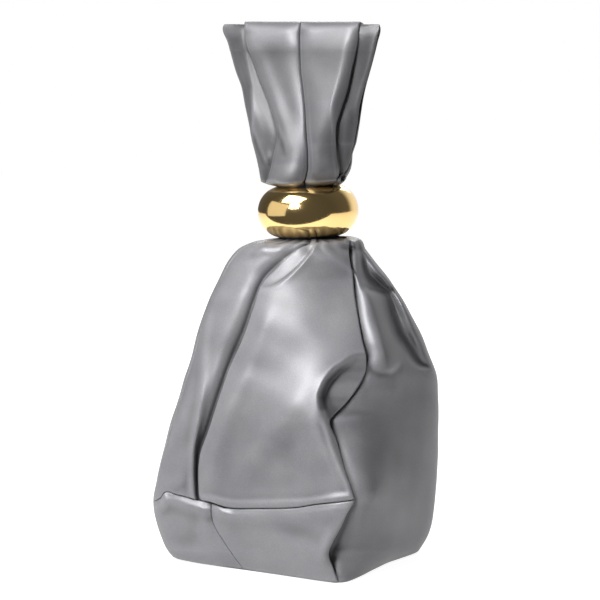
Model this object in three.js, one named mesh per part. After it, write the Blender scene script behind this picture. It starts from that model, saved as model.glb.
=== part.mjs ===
// A soft evening bag of the knot kind: folded leather panels stand on a flat base,
// are gathered through a sliding metal ring, and go on above it as a pleated carrying loop.
// Millimetres, +Z up, front towards -Y, origin under the middle of the base.

import * as THREE from 'three';

// Driving sizes
const BASE_WIDTH = 125; // along the front, where the leather meets the floor
const BASE_DEPTH = 111;
const ROLL_WIDTH = 145; // a little higher, where the bottom edge has rolled out
const ROLL_DEPTH = 118;
const BAND_WIDTH = 156; // along the seam on top of the base band
const BAND_DEPTH = 124;
const LOWER_WIDTH = 153;
const LOWER_DEPTH = 127;
const BELLY_WIDTH = 146;
const BELLY_DEPTH = 128;
const UPPER_WIDTH = 137;
const UPPER_DEPTH = 115;
const HIGH_WIDTH = 119;
const HIGH_DEPTH = 100;
const SHOULDER_WIDTH = 98;
const SHOULDER_DEPTH = 86;
const CROWN_WIDTH = 79;
const CROWN_DEPTH = 74;
const GATHER_WIDTH = 68; // where the leather turns in below the ring
const ROLL_HEIGHT = 14;
const BAND_HEIGHT = 44;
const BODY_HEIGHT = 210; // floor to the underside of the ring
const LEATHER = 1.4;
const LINING = 0.8;
const BOARD = 2.4;
const SEAM_GAP = 0.3; // between two pieces that lie against each other
const LINING_SLACK = 1.3; // the lining hangs this far inside the leather
const FOLD_OVERLAP = 7; // how far the front fold covers the leather beside it
const DENT_DEPTH = 7; // the hollow pressed into the front right edge
const DENT_WIDTH = 44;
const DENT_HEIGHT = 34;
const PUFF_RISE = 5; // the soft roll that hangs from the gathers on the side
const PUFF_WIDTH = 24;
const PUFF_HEIGHT = 64;
const CREASE_DEPTH = 4; // the crease beside that roll
const CREASE_WIDTH = 18;
const CREASE_HEIGHT = 62;
const TUCK_DEPTH = 7; // the hollow beside the front band's lower right corner
const TUCK_WIDTH = 26;
const TUCK_HEIGHT = 24;
const NECK_LEAN = 5.7; // the neck stands this far right of the middle of the base
const NECK_SET_BACK = 3.3;
const NECK_DIAMETER = 36.6; // the gathered leather inside the ring
const CHANNEL_DIAMETER = 8.4; // the way left open down through the gathers
const RING_OUTER_DIAMETER = 65.2;
const RING_BORE_DIAMETER = 38.6;
const RING_HEIGHT = 33;
const RING_DOME_DEPTH = 15.6; // radial half-axis of the domed outside
const RING_WALL = 1.2; // the domed shell is hollow
const SLEEVE_WALL = 1; // the tube that closes it towards the leather
const SLEEVE_EDGE_RADIUS = 0.6;
const LOOP_RISE = 105; // from the top of the ring to the top of the loop
const LOOP_WIDTH = 109;
const LOOP_FOOT_WIDTH = 52; // where the loop spreads over the top of the ring
const LOOP_FOOT_DEPTH = 43;
const LOOP_FOOT_RISE = 5;
const CENTRE_PLEAT_DEPTH = 17; // front to back over the folded top
const OUTER_PLEAT_DEPTH = 12;

// Shares of the sizes above, chosen by eye
const ringSlopeShare = 0.0437; // rise of the ring to the run across it, right side up
const heightShares = [0.18, 0.37, 0.56, 0.73, 0.855, 0.94, 0.984]; // lower body up to the gather
const leanShares = [0, 0, 0.05, 0.45, 1, 1.2, 0.95, 0.65, 0.45, 0.75, 1, 1];
const cornerShares = [7, 8, 7, 5.5, 4.6, 4, 3.4, 2.8, 2.4, 2, 2, 2]; // 2 is an ellipse, more is squarer
const frontFoldShares = [0.235, 0.235, 0.235, 0.225, 0.22, 0.25, 0.29, 0.35, 0.43, 0.52, 0.58, 0.58];
const bandSeamShares = [0.43, 0.4, 0.29];
const edgeReachShare = 0.26; // of a side, over which the front right edge draws the wall with it
const edgeAcrossShares = [0.97, 0.83, 0.9, 0.85, 0.76, 0.93, 0.91, 0.92, 0.75, 0.71, 0.71, 0.71];
const edgeDeepShares = [0.97, 0.98, 0.94, 0.89, 0.8, 0.68, 0.6, 0.5, 0.75, 0.71, 0.71, 0.71];
const dentPlaceShare = 1.06; // of a side, on from the front left corner, as the next three are
const puffPlaceShare = 1.3;
const creasePlaceShare = 1.57;
const tuckPlaceShare = 1.1;
const dentHeightShare = 0.38; // of the way from the band to the ring, as the next two are
const puffHeightShare = 0.64;
const creaseHeightShare = 0.72;
const tuckHeightShare = 0.5; // of the band
const pleatShares = [-1, -0.74, 0, 0.74, 1]; // where the loop's pleats part, across its half-width

// Levels of the wall from the floor up, and corners of the base anticlockwise from above
const levelNames = [
  'floor', 'roll', 'band', 'lower', 'belly', 'upper',
  'high', 'shoulder', 'crown', 'gather', 'neck', 'neckTop',
];
const levelOf = (name) => levelNames.indexOf(name);
const floorLevel = levelOf('floor');
const bandLevel = levelOf('band');
const crownLevel = levelOf('crown');
const gatherLevel = levelOf('gather');
const neckLevel = levelOf('neck');
const neckTopLevel = levelOf('neckTop');
const cornerNames = ['frontLeft', 'frontRight', 'backRight', 'backLeft'];
const [frontLeft, frontRight, backRight, backLeft] = cornerNames.keys();

// Worked out from them
const ringTilt = Math.atan(ringSlopeShare);
const floorGap = LEATHER + SEAM_GAP; // the walls start on top of the base panel
const ringRise = BODY_HEIGHT + RING_HEIGHT / 2;
const neckStart = BODY_HEIGHT - SEAM_GAP;
const wallRise = BODY_HEIGHT - BAND_HEIGHT;
const heights = [
  floorGap,
  ROLL_HEIGHT,
  BAND_HEIGHT,
  ...heightShares.map((share) => BAND_HEIGHT + share * wallRise),
  neckStart,
  ringRise - SEAM_GAP / 2,
];
const widths = [
  BASE_WIDTH, ROLL_WIDTH, BAND_WIDTH, LOWER_WIDTH, BELLY_WIDTH, UPPER_WIDTH,
  HIGH_WIDTH, SHOULDER_WIDTH, CROWN_WIDTH, GATHER_WIDTH, NECK_DIAMETER, NECK_DIAMETER,
];
const depths = [
  BASE_DEPTH, ROLL_DEPTH, BAND_DEPTH, LOWER_DEPTH, BELLY_DEPTH, UPPER_DEPTH,
  HIGH_DEPTH, SHOULDER_DEPTH, CROWN_DEPTH, GATHER_WIDTH, NECK_DIAMETER, NECK_DIAMETER,
];
const tiltShares = heights.map((height) => THREE.MathUtils.smoothstep(height, BAND_HEIGHT, neckStart));
const onWall = (share) => BAND_HEIGHT + share * wallRise;

// Places where the wall is pressed in, or stands out where the depth is below zero
const presses = [
  { place: dentPlaceShare, rise: onWall(dentHeightShare), width: DENT_WIDTH, height: DENT_HEIGHT, depth: DENT_DEPTH },
  { place: puffPlaceShare, rise: onWall(puffHeightShare), width: PUFF_WIDTH, height: PUFF_HEIGHT, depth: -PUFF_RISE },
  {
    place: creasePlaceShare, rise: onWall(creaseHeightShare),
    width: CREASE_WIDTH, height: CREASE_HEIGHT, depth: CREASE_DEPTH,
  },
  { place: tuckPlaceShare, rise: tuckHeightShare * BAND_HEIGHT, width: TUCK_WIDTH, height: TUCK_HEIGHT, depth: TUCK_DEPTH },
];

// A value between levels, along a smooth curve through the list
function along(list, level) {
  const last = list.length - 1;
  const start = Math.min(Math.max(Math.floor(level), 0), last - 1);
  const part = level - start;
  const at = (place) => list[Math.min(Math.max(place, 0), last)];
  const [before, from, to, after] = [at(start - 1), at(start), at(start + 1), at(start + 2)];
  if (start >= gatherLevel) return from + (to - from) * part;
  const leave = (to - before) / 2;
  const arrive = (after - from) / 2;
  const rise = to - from;
  const bend = 3 * rise - 2 * leave - arrive;
  return from + part * (leave + part * (bend + part * (leave + arrive - 2 * rise)));
}

// The unit square's edge at a turn: 0 front left corner, 1 front right, 2 back right, 3 back left
function squareEdge(turn) {
  const round = ((turn % 4) + 4) % 4;
  const run = 2 * (round % 1) - 1;
  return [[run, -1], [1, run], [-run, 1], [-1, -run]][Math.floor(round)];
}

// How far the front right edge, and its twin at the back, draw the wall from its squared corner, in half sides
function edgePull(turn, level, corner) {
  const round = ((turn % 4) + 4) % 4;
  const facing = round < 2 ? 1 : -1;
  const apart = ((round % 2) - 1) / edgeReachShare;
  const near = facing * Math.exp(-apart * apart);
  return {
    across: near * (along(edgeAcrossShares, level) - corner),
    deep: near * (corner - along(edgeDeepShares, level)),
  };
}

// A point of the bag's outside before any dent
function shellPoint(turn, level) {
  const [across, deep] = squareEdge(turn);
  const power = along(cornerShares, level);
  const pull = (Math.abs(across) ** power + Math.abs(deep) ** power) ** (-1 / power);
  const drawn = edgePull(turn, level, 2 ** (-1 / power));
  const x = (along(widths, level) / 2) * (across * pull + drawn.across);
  const y = (along(depths, level) / 2) * (deep * pull + drawn.deep);
  const tilt = ringTilt * along(tiltShares, level);
  const lean = along(leanShares, level);
  return new THREE.Vector3(
    lean * NECK_LEAN + x * Math.cos(tilt),
    lean * NECK_SET_BACK + y,
    along(heights, level) + x * Math.sin(tilt),
  );
}

const nudgeShare = 1e-3; // of a side or a level, for slopes

// The way out of the wall, square to it
function shellNormal(turn, level) {
  const low = Math.max(level - nudgeShare, 0);
  const high = Math.min(level + nudgeShare, neckTopLevel);
  const sideways = shellPoint(turn + nudgeShare, level).sub(shellPoint(turn - nudgeShare, level));
  const upwards = shellPoint(turn, high).sub(shellPoint(turn, low));
  return sideways.cross(upwards).normalize();
}

// How far the wall is pressed in, the same at the back as at the front
function dentAt(turn, point) {
  const round = ((turn % 2) + 2) % 2;
  return presses.reduce((total, { place, rise, width, height, depth }) => {
    const sideways = (2 * (round - place) * BELLY_WIDTH) / width;
    const upwards = (2 * (point.z - rise)) / height;
    return total + depth * Math.exp(-sideways * sideways - upwards * upwards);
  }, 0);
}

// A point of the wall, a depth below its outside. Slack draws it in by a share of each press more.
function wallPoint(turn, level, depth, slackShare = 0) {
  const outside = shellPoint(turn, level);
  const pressed = dentAt(turn, outside);
  return outside.addScaledVector(shellNormal(turn, level), -depth - pressed - slackShare * Math.abs(pressed));
}

// The turn or level that lies a distance further on
function turnBy(turn, level, distance) {
  const span = shellPoint(turn + nudgeShare, level).distanceTo(shellPoint(turn - nudgeShare, level));
  return turn + (2 * nudgeShare * distance) / span;
}

function levelBy(level, distance) {
  const low = Math.max(level - nudgeShare, 0);
  const high = Math.min(level + nudgeShare, neckTopLevel);
  return level + ((high - low) * distance) / (along(heights, high) - along(heights, low));
}

// A closed solid between two grids of points, rows up and columns anticlockwise from above
function sheetBetween(outer, inner) {
  const rows = outer.length;
  const columns = outer[0].length;
  const places = [...outer.flat(), ...inner.flat()].flatMap((point) => point.toArray());
  const out = (row, column) => row * columns + column;
  const ins = (row, column) => (rows + row) * columns + column;
  const faces = [];
  const quad = (a, b, c, d) => faces.push(a, b, c, a, c, d);
  for (let row = 0; row < rows - 1; row++) {
    for (let column = 0; column < columns - 1; column++) {
      quad(out(row, column), out(row, column + 1), out(row + 1, column + 1), out(row + 1, column));
      quad(ins(row, column), ins(row + 1, column), ins(row + 1, column + 1), ins(row, column + 1));
    }
    quad(out(row, 0), out(row + 1, 0), ins(row + 1, 0), ins(row, 0));
    quad(out(row, columns - 1), ins(row, columns - 1), ins(row + 1, columns - 1), out(row + 1, columns - 1));
  }
  for (let column = 0; column < columns - 1; column++) {
    quad(out(0, column), ins(0, column), ins(0, column + 1), out(0, column + 1));
    quad(out(rows - 1, column), out(rows - 1, column + 1), ins(rows - 1, column + 1), ins(rows - 1, column));
  }
  const geometry = new THREE.BufferGeometry();
  geometry.setAttribute('position', new THREE.Float32BufferAttribute(places, 3));
  geometry.setIndex(faces);
  return geometry;
}

const leather = () => new THREE.MeshStandardMaterial({ color: 0x85878a, roughness: 0.42, metalness: 0.3 });
const fabric = () => new THREE.MeshStandardMaterial({ color: 0x4b4c50, roughness: 0.9, metalness: 0 });
const board = () => new THREE.MeshStandardMaterial({ color: 0x8a7556, roughness: 0.95, metalness: 0 });
const gold = () => new THREE.MeshStandardMaterial({ color: 0xd9a441, roughness: 0.12, metalness: 1 });

const bag = new THREE.Group();

function addPiece(group, name, geometry, material) {
  const piece = new THREE.Mesh(geometry, material);
  piece.name = name;
  group.add(piece);
}

// Evenly eased steps, closer together near both ends
function easedSteps(count) {
  return Array.from({ length: count + 1 }, (_, step) => (1 - Math.cos((Math.PI * step) / count)) / 2);
}

const halfGap = SEAM_GAP / 2;
const channelRadius = CHANNEL_DIAMETER / 2;
const middleAt = (level) => shellPoint(frontLeft, level).lerp(shellPoint(backRight, level), 0.5);
const neckCentre = middleAt(neckLevel);
const neckTopCentre = middleAt(neckTopLevel);

// In the neck the gathered leather fills everything but the channel
function gatheredInside(turn, level) {
  const outside = shellPoint(turn, level);
  const centre = level < neckTopLevel ? neckCentre : neckTopCentre;
  const inwards = outside.clone().sub(centre).setLength(channelRadius);
  return centre.clone().add(inwards);
}

// A leather panel between two edges, each a function of the level.
// lift raises its first columns over the panel beside it.
function leatherPanel(levels, leftEdge, rightEdge, columns, lift = () => 0) {
  const outer = [];
  const inner = [];
  for (const level of levels) {
    const left = turnBy(leftEdge(level), level, halfGap);
    const right = turnBy(rightEdge(level), level, -halfGap);
    const gathered = level >= neckLevel;
    const turns = columns(left, right, level);
    outer.push(turns.map((turn) => wallPoint(turn, level, -lift(turn, left, level))));
    inner.push(
      turns.map((turn) =>
        gathered ? gatheredInside(turn, level) : wallPoint(turn, level, LEATHER - lift(turn, left, level)),
      ),
    );
  }
  return sheetBetween(outer, inner);
}

const evenColumns = (count) => (left, right) => easedSteps(count).map((step) => left + (right - left) * step);

const bandTop = levelBy(bandLevel, -halfGap);
const panelFoot = levelBy(bandLevel, halfGap);
const bandLevels = [floorLevel, 0.5, 1, 1.5, bandTop];
const panelLevels = [panelFoot, 2.5, 3, 3.5, 4, 4.5, 5, 5.5, 6, 6.5, 7, 7.5, crownLevel, 8.5, 9, 10, 11];
const gussetLevels = [...bandLevels.slice(0, -1), bandLevel, ...panelLevels.slice(1)];

const frontFold = (level) => along(frontFoldShares, level);
const bandSeam = (level) => along(bandSeamShares, level);
const overlapAt = (level) => (level <= crownLevel ? FOLD_OVERLAP : 0);
const foldLift = LEATHER + SEAM_GAP;
const coveredWidth = FOLD_OVERLAP + 2 * SEAM_GAP;
const liftFadeShare = 0.4; // of a side, over which the raised edge comes down to the wall

// The covering panel starts at the fold, lies flat over what it covers, then comes down to the wall
function foldColumns(left, right, level) {
  const clear = turnBy(left, level, coveredWidth);
  return [left, clear, ...easedSteps(8).slice(1).map((step) => clear + (right - clear) * step)];
}

function liftOverFold(turn, left, level) {
  if (level >= gatherLevel) return 0;
  const clear = turnBy(left, level, coveredWidth);
  return foldLift * (1 - THREE.MathUtils.smoothstep(turn, clear, clear + liftFadeShare));
}

// The panels of one face, front or back: the back is the front turned half round
function addFace(side, corner) {
  const start = () => corner;
  const end = () => corner + 1;
  const fold = (level) => corner + frontFold(level);
  const covered = (level) => turnBy(fold(level), level, overlapAt(level));
  const seam = (level) => corner + bandSeam(level);
  const add = (name, panel) => addPiece(bag, side + name, panel, leather());
  add('_left_panel', leatherPanel(panelLevels, start, covered, evenColumns(4)));
  add('_right_panel', leatherPanel(panelLevels, fold, end, foldColumns, liftOverFold));
  add('_band_left', leatherPanel(bandLevels, start, seam, evenColumns(4)));
  add('_band_right', leatherPanel(bandLevels, seam, end, evenColumns(5)));
}

function addGusset(name, corner) {
  const panel = leatherPanel(gussetLevels, () => corner, () => corner + 1, evenColumns(12));
  addPiece(bag, name, panel, leather());
}

// The lining, one panel to a side, drawn in under the gathers
const liningFoot = levelBy(floorLevel, BOARD + LINING + 2 * SEAM_GAP);
const liningLevels = [liningFoot, 1, 1.5, 2, 2.5, 3, 3.5, 4, 4.5, 5, 5.5, 6, 6.5, 7, crownLevel];
const liningSlackShare = 0.35; // the lining is drawn in a little more than the leather at its folds
const liningDepth = LEATHER + LINING_SLACK;

function addLining(name, corner) {
  const outer = [];
  const inner = [];
  for (const level of liningLevels) {
    const left = turnBy(corner, level, liningDepth);
    const right = turnBy(corner + 1, level, -liningDepth);
    const turns = evenColumns(12)(left, right);
    outer.push(turns.map((turn) => wallPoint(turn, level, liningDepth, liningSlackShare)));
    inner.push(turns.map((turn) => wallPoint(turn, level, liningDepth + LINING, liningSlackShare)));
  }
  addPiece(bag, name, sheetBetween(outer, inner), fabric());
}

// A flat plate with the bag's outline, drawn in from the wall
function addPlate(name, level, inset, low, thickness, material) {
  const corners = [];
  for (let side = 0; side < 4; side++) {
    corners.push(...easedSteps(8).slice(0, -1).map((step) => wallPoint(side + step, level, inset)));
  }
  const shape = new THREE.Shape(corners.map((point) => new THREE.Vector2(point.x, point.y)));
  const geometry = new THREE.ExtrudeGeometry(shape, { depth: thickness, bevelEnabled: false });
  geometry.translate(0, 0, low);
  addPiece(bag, name, geometry, material);
}

// The ring leans with the neck
const ringFrame = new THREE.Group();
ringFrame.position.set(NECK_LEAN, NECK_SET_BACK, ringRise);
ringFrame.rotation.y = -ringTilt;
bag.add(ringFrame);

const boreRadius = RING_BORE_DIAMETER / 2;
const rimRadius = boreRadius + SLEEVE_WALL + SEAM_GAP;
const domeCentre = RING_OUTER_DIAMETER / 2 - RING_DOME_DEPTH;
const rimHeight = (RING_HEIGHT / 2) * Math.sqrt(1 - ((rimRadius - domeCentre) / RING_DOME_DEPTH) ** 2);

// Points of an upright half ellipse, from its low end at the rim to its high end
function domeArc(inset) {
  const depth = RING_DOME_DEPTH - inset;
  const rise = RING_HEIGHT / 2 - inset;
  const end = Math.acos((rimRadius - domeCentre) / depth);
  const steps = 12;
  return Array.from({ length: steps + 1 }, (_, step) => {
    const angle = -end + (2 * end * step) / steps;
    return new THREE.Vector2(domeCentre + depth * Math.cos(angle), rise * Math.sin(angle));
  });
}

// A point a quarter turn or less round a small rounded edge
function edgeArc(radius, height, turned) {
  const steps = 3;
  return Array.from({ length: steps + 1 }, (_, step) => {
    const angle = turned + (Math.PI / 2) * (step / steps);
    const turn = new THREE.Vector2(Math.cos(angle), Math.sin(angle));
    return turn.multiplyScalar(SLEEVE_EDGE_RADIUS).add(new THREE.Vector2(radius, height));
  });
}

const ringSegments = 48;

function addRevolved(name, profile) {
  const geometry = new THREE.LatheGeometry([...profile, profile[0].clone()], ringSegments);
  geometry.rotateX(Math.PI / 2);
  addPiece(ringFrame, name, geometry, gold());
}

function addRing() {
  addRevolved('ring_dome', [...domeArc(0), ...domeArc(RING_WALL).reverse()]);
  const edge = rimHeight - SLEEVE_EDGE_RADIUS;
  const outside = boreRadius + SLEEVE_WALL;
  addRevolved('ring_sleeve', [
    new THREE.Vector2(outside, -rimHeight),
    new THREE.Vector2(outside, rimHeight),
    ...edgeArc(boreRadius + SLEEVE_EDGE_RADIUS, edge, Math.PI / 2),
    ...edgeArc(boreRadius + SLEEVE_EDGE_RADIUS, -edge, Math.PI),
  ]);
}

// The loop: front and back leaves rise from the neck, spread flat, and meet in a fold on top
const neckRadius = NECK_DIAMETER / 2;
const footLow = RING_HEIGHT / 2 + SEAM_GAP;
const footHigh = footLow + LOOP_FOOT_RISE;
const loopTop = RING_HEIGHT / 2 + LOOP_RISE;
const foldStart = loopTop - CENTRE_PLEAT_DEPTH / 2;
const fullyFlatShare = 0.5; // of the way up, where the round gather has become two flat leaves

// Half the size across (width) and front to back (depth) of the leaves at a height
function spreadAt(height, foldDepth) {
  const over = THREE.MathUtils.smoothstep(height, footLow, footHigh);
  const up = THREE.MathUtils.clamp((height - footHigh) / (foldStart - footHigh), 0, 1);
  const flat = THREE.MathUtils.smoothstep(up, 0, fullyFlatShare);
  const footWidth = THREE.MathUtils.lerp(neckRadius, LOOP_FOOT_WIDTH / 2, over);
  const footDepth = THREE.MathUtils.lerp(neckRadius, LOOP_FOOT_DEPTH / 2, over);
  return {
    width: THREE.MathUtils.lerp(footWidth, LOOP_WIDTH / 2, up),
    depth: THREE.MathUtils.lerp(footDepth, foldDepth, flat),
    flat,
    over,
  };
}

// A point on the front leaf's outside or inside: across runs from -1 to 1
function leafPoint(across, height, foldDepth, isInside) {
  const spread = spreadAt(height, foldDepth);
  const angle = (across * Math.PI) / 2;
  const thinned = (size) => (isInside ? size - LEATHER : size);
  const opened = (size) => THREE.MathUtils.lerp(channelRadius, size - LEATHER, spread.over);
  const filled = (size) => (isInside ? opened(size) : size);
  return new THREE.Vector3(
    THREE.MathUtils.lerp(filled(spread.width) * Math.sin(angle), spread.width * across, spread.flat),
    -THREE.MathUtils.lerp(filled(spread.depth) * Math.cos(angle), thinned(spread.depth), spread.flat),
    height,
  );
}

// Across, moved a distance along the leaf
function acrossBy(across, height, foldDepth, isInside, distance) {
  const ahead = leafPoint(across + nudgeShare, height, foldDepth, isInside);
  const span = ahead.distanceTo(leafPoint(across - nudgeShare, height, foldDepth, isInside));
  return across + (2 * nudgeShare * distance) / span;
}

// The loop's middle line leans with the ring, and its pleats come level towards the top
function leaned(point) {
  const tilt = ringTilt * (1 - THREE.MathUtils.smoothstep(point.z, footHigh, loopTop));
  return new THREE.Vector3(
    NECK_LEAN + point.x * Math.cos(tilt) - point.z * Math.sin(ringTilt),
    NECK_SET_BACK + point.y,
    ringRise + point.x * Math.sin(tilt) + point.z * Math.cos(ringTilt),
  );
}

const outerColumns = 3;
const centreColumns = 6;
const legShares = [0.06, 0.16, 0.28, 0.4, 0.52, 0.66, 0.83, 1]; // of the way up a leaf

function addPleat(name, from, to, foldDepth, columns) {
  const legRises = legShares.map((share) => THREE.MathUtils.lerp(footHigh, foldStart, share));
  const legHeights = [halfGap, footLow, footHigh, ...legRises];
  const rowOf = (height, isInside) => {
    const left = acrossBy(from, height, foldDepth, isInside, halfGap);
    const right = acrossBy(to, height, foldDepth, isInside, -halfGap);
    return Array.from({ length: columns + 1 }, (_, step) =>
      leafPoint(left + ((right - left) * step) / columns, height, foldDepth, isInside),
    );
  };
  const grid = (isInside) => {
    const rows = legHeights.map((height) => rowOf(height, isInside));
    const top = rows[rows.length - 1];
    const foldSteps = 6;
    const folded = [];
    for (let step = 1; step < foldSteps; step++) {
      const angle = (Math.PI * step) / foldSteps;
      const over = (point) => [point.x, point.y * Math.cos(angle), foldStart - point.y * Math.sin(angle)];
      folded.push(top.map((point) => new THREE.Vector3(...over(point))));
    }
    const mirrored = (point) => new THREE.Vector3(point.x, -point.y, point.z);
    const behind = [...rows].reverse().map((row) => row.map(mirrored));
    return [...rows, ...folded, ...behind].map((row) => row.map(leaned));
  };
  addPiece(bag, name, sheetBetween(grid(false), grid(true)), leather());
}

addFace('front', frontLeft);
addGusset('right_gusset', frontRight);
addFace('back', backRight);
addGusset('left_gusset', backLeft);
addLining('front_lining', frontLeft);
addLining('right_lining', frontRight);
addLining('back_lining', backRight);
addLining('left_lining', backLeft);
addPlate('base_panel', floorLevel, 0, 0, LEATHER, leather());
addPlate('base_board', floorLevel, liningDepth, floorGap, BOARD, board());
addPlate('base_lining', floorLevel, liningDepth, floorGap + BOARD + SEAM_GAP, LINING, fabric());
addRing();
const centreFold = CENTRE_PLEAT_DEPTH / 2;
const outerFold = OUTER_PLEAT_DEPTH / 2;
const [loopLeft, leftParting, loopMiddle, rightParting, loopRight] = pleatShares;
addPleat('loop_outer_left', loopLeft, leftParting, outerFold, outerColumns);
addPleat('loop_centre_left', leftParting, loopMiddle, centreFold, centreColumns);
addPleat('loop_centre_right', loopMiddle, rightParting, centreFold, centreColumns);
addPleat('loop_outer_right', rightParting, loopRight, outerFold, outerColumns);

export default bag;
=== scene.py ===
"""Dresses a knotted leather wrist bag: folded panels, gathered neck, pleated loop, sliding ring."""

import math

import bpy
import numpy as np
from bpy.props import FloatProperty, FloatVectorProperty, PointerProperty
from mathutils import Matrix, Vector


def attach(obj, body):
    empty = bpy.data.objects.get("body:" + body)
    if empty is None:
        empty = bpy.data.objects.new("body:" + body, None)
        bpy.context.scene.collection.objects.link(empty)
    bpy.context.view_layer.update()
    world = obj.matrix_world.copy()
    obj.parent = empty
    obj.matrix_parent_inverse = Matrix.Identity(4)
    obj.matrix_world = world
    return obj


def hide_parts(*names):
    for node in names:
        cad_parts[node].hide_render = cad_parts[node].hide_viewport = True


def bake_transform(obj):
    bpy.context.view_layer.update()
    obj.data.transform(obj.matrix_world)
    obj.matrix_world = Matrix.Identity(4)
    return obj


bl_info = {
    "name": "Knotted Wrist Bag",
    "version": (1, 0, 0),
    "blender": (4, 5, 0),
    "location": "View3D > Sidebar > Knot Bag",
    "description": "Builds the leather, lining and ring of a knotted wrist bag around its packed frame",
    "category": "Object",
}

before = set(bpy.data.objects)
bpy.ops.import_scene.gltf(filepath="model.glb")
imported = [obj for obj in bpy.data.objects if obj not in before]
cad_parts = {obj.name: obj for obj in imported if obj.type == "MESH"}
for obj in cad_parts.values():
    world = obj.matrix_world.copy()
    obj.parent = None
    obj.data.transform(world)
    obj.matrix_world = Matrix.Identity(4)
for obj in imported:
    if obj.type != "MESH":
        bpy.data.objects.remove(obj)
BAG_BODY = "leather_bag"
RING_BODY = "ring"
MM = 0.001


# Smooth steps and curves on arrays


def eased(low, high, value):
    share = np.clip((value - low) / (high - low), 0, 1)
    return share * share * (3 - 2 * share)


def follow(keys, values, at, settled=False):
    """A smooth curve through values at rising keys, held past both ends, with no overshoot.

    A settled curve is also level at its two ends."""
    keys = np.asarray(keys, float)
    values = np.asarray(values, float)
    run = np.diff(keys)
    slope = np.diff(values) / run
    bend = np.zeros(len(keys))
    same = slope[:-1] * slope[1:] > 0
    first = 2 * run[1:] + run[:-1]
    second = run[1:] + 2 * run[:-1]
    safe = np.where(same, slope[:-1], 1), np.where(same, slope[1:], 1)
    bend[1:-1] = np.where(same, (first + second) / (first / safe[0] + second / safe[1]), 0)
    if not settled:
        bend[0], bend[-1] = slope[0], slope[-1]
    at = np.clip(at, keys[0], keys[-1])
    spot = np.clip(np.searchsorted(keys, at, "right") - 1, 0, len(keys) - 2)
    width = run[spot]
    share = (at - keys[spot]) / width
    lift = values[spot + 1] - values[spot]
    leave = bend[spot] * width
    arrive = bend[spot + 1] * width
    cubed = share * (leave + arrive - 2 * lift)
    return values[spot] + share * (leave + share * ((3 * lift - 2 * leave - arrive) + cubed))


def softened(keys, values, reach, grain, at):
    """The smooth curve with its bends spread over the reach, worked out on a grain this fine."""
    dense = np.arange(keys[0], keys[-1] + grain / 2, grain)
    half = int(3 * reach / grain)
    window = np.exp(-0.5 * (np.arange(-half, half + 1) * grain / reach) ** 2)
    padded = np.pad(follow(keys, values, dense), half, "reflect", reflect_type="odd")
    return np.interp(at, dense, np.convolve(padded, window / window.sum(), "valid"))


def lengths_along(points):
    steps = np.linalg.norm(np.diff(points, axis=1), axis=2)
    return np.concatenate([np.zeros((len(points), 1)), np.cumsum(steps, axis=1)], axis=1)


def normals_of(points):
    """Unit normals of a grid whose columns run anticlockwise from above and whose rows run up."""
    normal = np.cross(np.gradient(points, axis=1), np.gradient(points, axis=0))
    return normal / np.maximum(np.linalg.norm(normal, axis=2, keepdims=True), 1e-9)


# The studio view, in millimetres, and the places on its square picture, in pixels

PICTURE = 600
FOCAL = 2332.0
VIEW_TURN = math.radians(30)
VIEW_PITCH = math.radians(6.8)
VIEW_DISTANCE = 1500.0
VIEW_HEIGHT = 347.4
AXIS_PIXEL = 298.0

SIDEWAYS = np.array([math.cos(VIEW_TURN), math.sin(VIEW_TURN), 0.0])
AHEAD = np.array([-math.sin(VIEW_TURN), math.cos(VIEW_TURN), 0.0])
FORWARD = AHEAD * math.cos(VIEW_PITCH) - np.array([0.0, 0.0, math.sin(VIEW_PITCH)])
UPWARDS = np.cross(SIDEWAYS, FORWARD)
AXIS_SHIFT = (AXIS_PIXEL - PICTURE / 2) * VIEW_DISTANCE / FOCAL / math.cos(VIEW_PITCH)
EYE = np.array([0.0, 0.0, VIEW_HEIGHT]) - AHEAD * VIEW_DISTANCE - SIDEWAYS * AXIS_SHIFT


def pixels_of(points):
    """Pixel across, pixel down, and distance along the view."""
    apart = points - EYE
    depth = apart @ FORWARD
    middle = PICTURE / 2
    return middle + FOCAL * (apart @ SIDEWAYS) / depth, middle - FOCAL * (apart @ UPWARDS) / depth, depth


# The bag's wall: sizes of its levels in millimetres, from the floor up

LEVEL_HEIGHTS = [0.3, 14, 44, 73.9, 105.4, 137, 165.2, 185.9, 200, 207.3, 209.9, 226.3]
LEVEL_WIDTHS = [125, 145, 156, 151, 143, 132, 116, 99, 84, 66, 36.2, 36.2]
LEVEL_DEPTHS = [111, 118, 124, 127, 128, 116, 102, 89, 78, 66, 36.2, 36.2]
LEVEL_LEANS = [0, 0, 0.05, 0.45, 1, 1.3, 1.05, 0.8, 0.7, 0.85, 1, 1]
LEVEL_POWERS = [7, 8, 7, 5.5, 4.6, 4, 3.4, 2.8, 2.4, 2, 2, 2]
LEVEL_STEPS = np.arange(12.0)
BAND_TOP_LEVEL, GATHER_LEVEL, TOP_LEVEL = 2.0, 9.0, 11.0
NECK_LEAN = 5.7
NECK_SET_BACK = 3.3
RING_SLOPE = math.atan(0.0437)
RING_MIDDLE = 226.5
RING_HEIGHT = 33.0
TILT_HEIGHTS = (44, 209.7)  # between these the levels tilt until they lie square to the ring's slope
CORNER_SPREAD = 0.26  # in turns, how far an edge's plan place draws the wall beside it
EDGE_FADE = (206, 185)  # heights between which that ends, below the round neck
LEVEL_BEND, PLAN_BEND, OUTLINE_BEND = 0.22, 5.0, 5.0  # reaches over which kinks are softened
OUTLINE_TOP_FADE, OUTLINE_FOOT_FADE = (238, 250), (590, 556)  # picture rows where the outline takes hold

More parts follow.
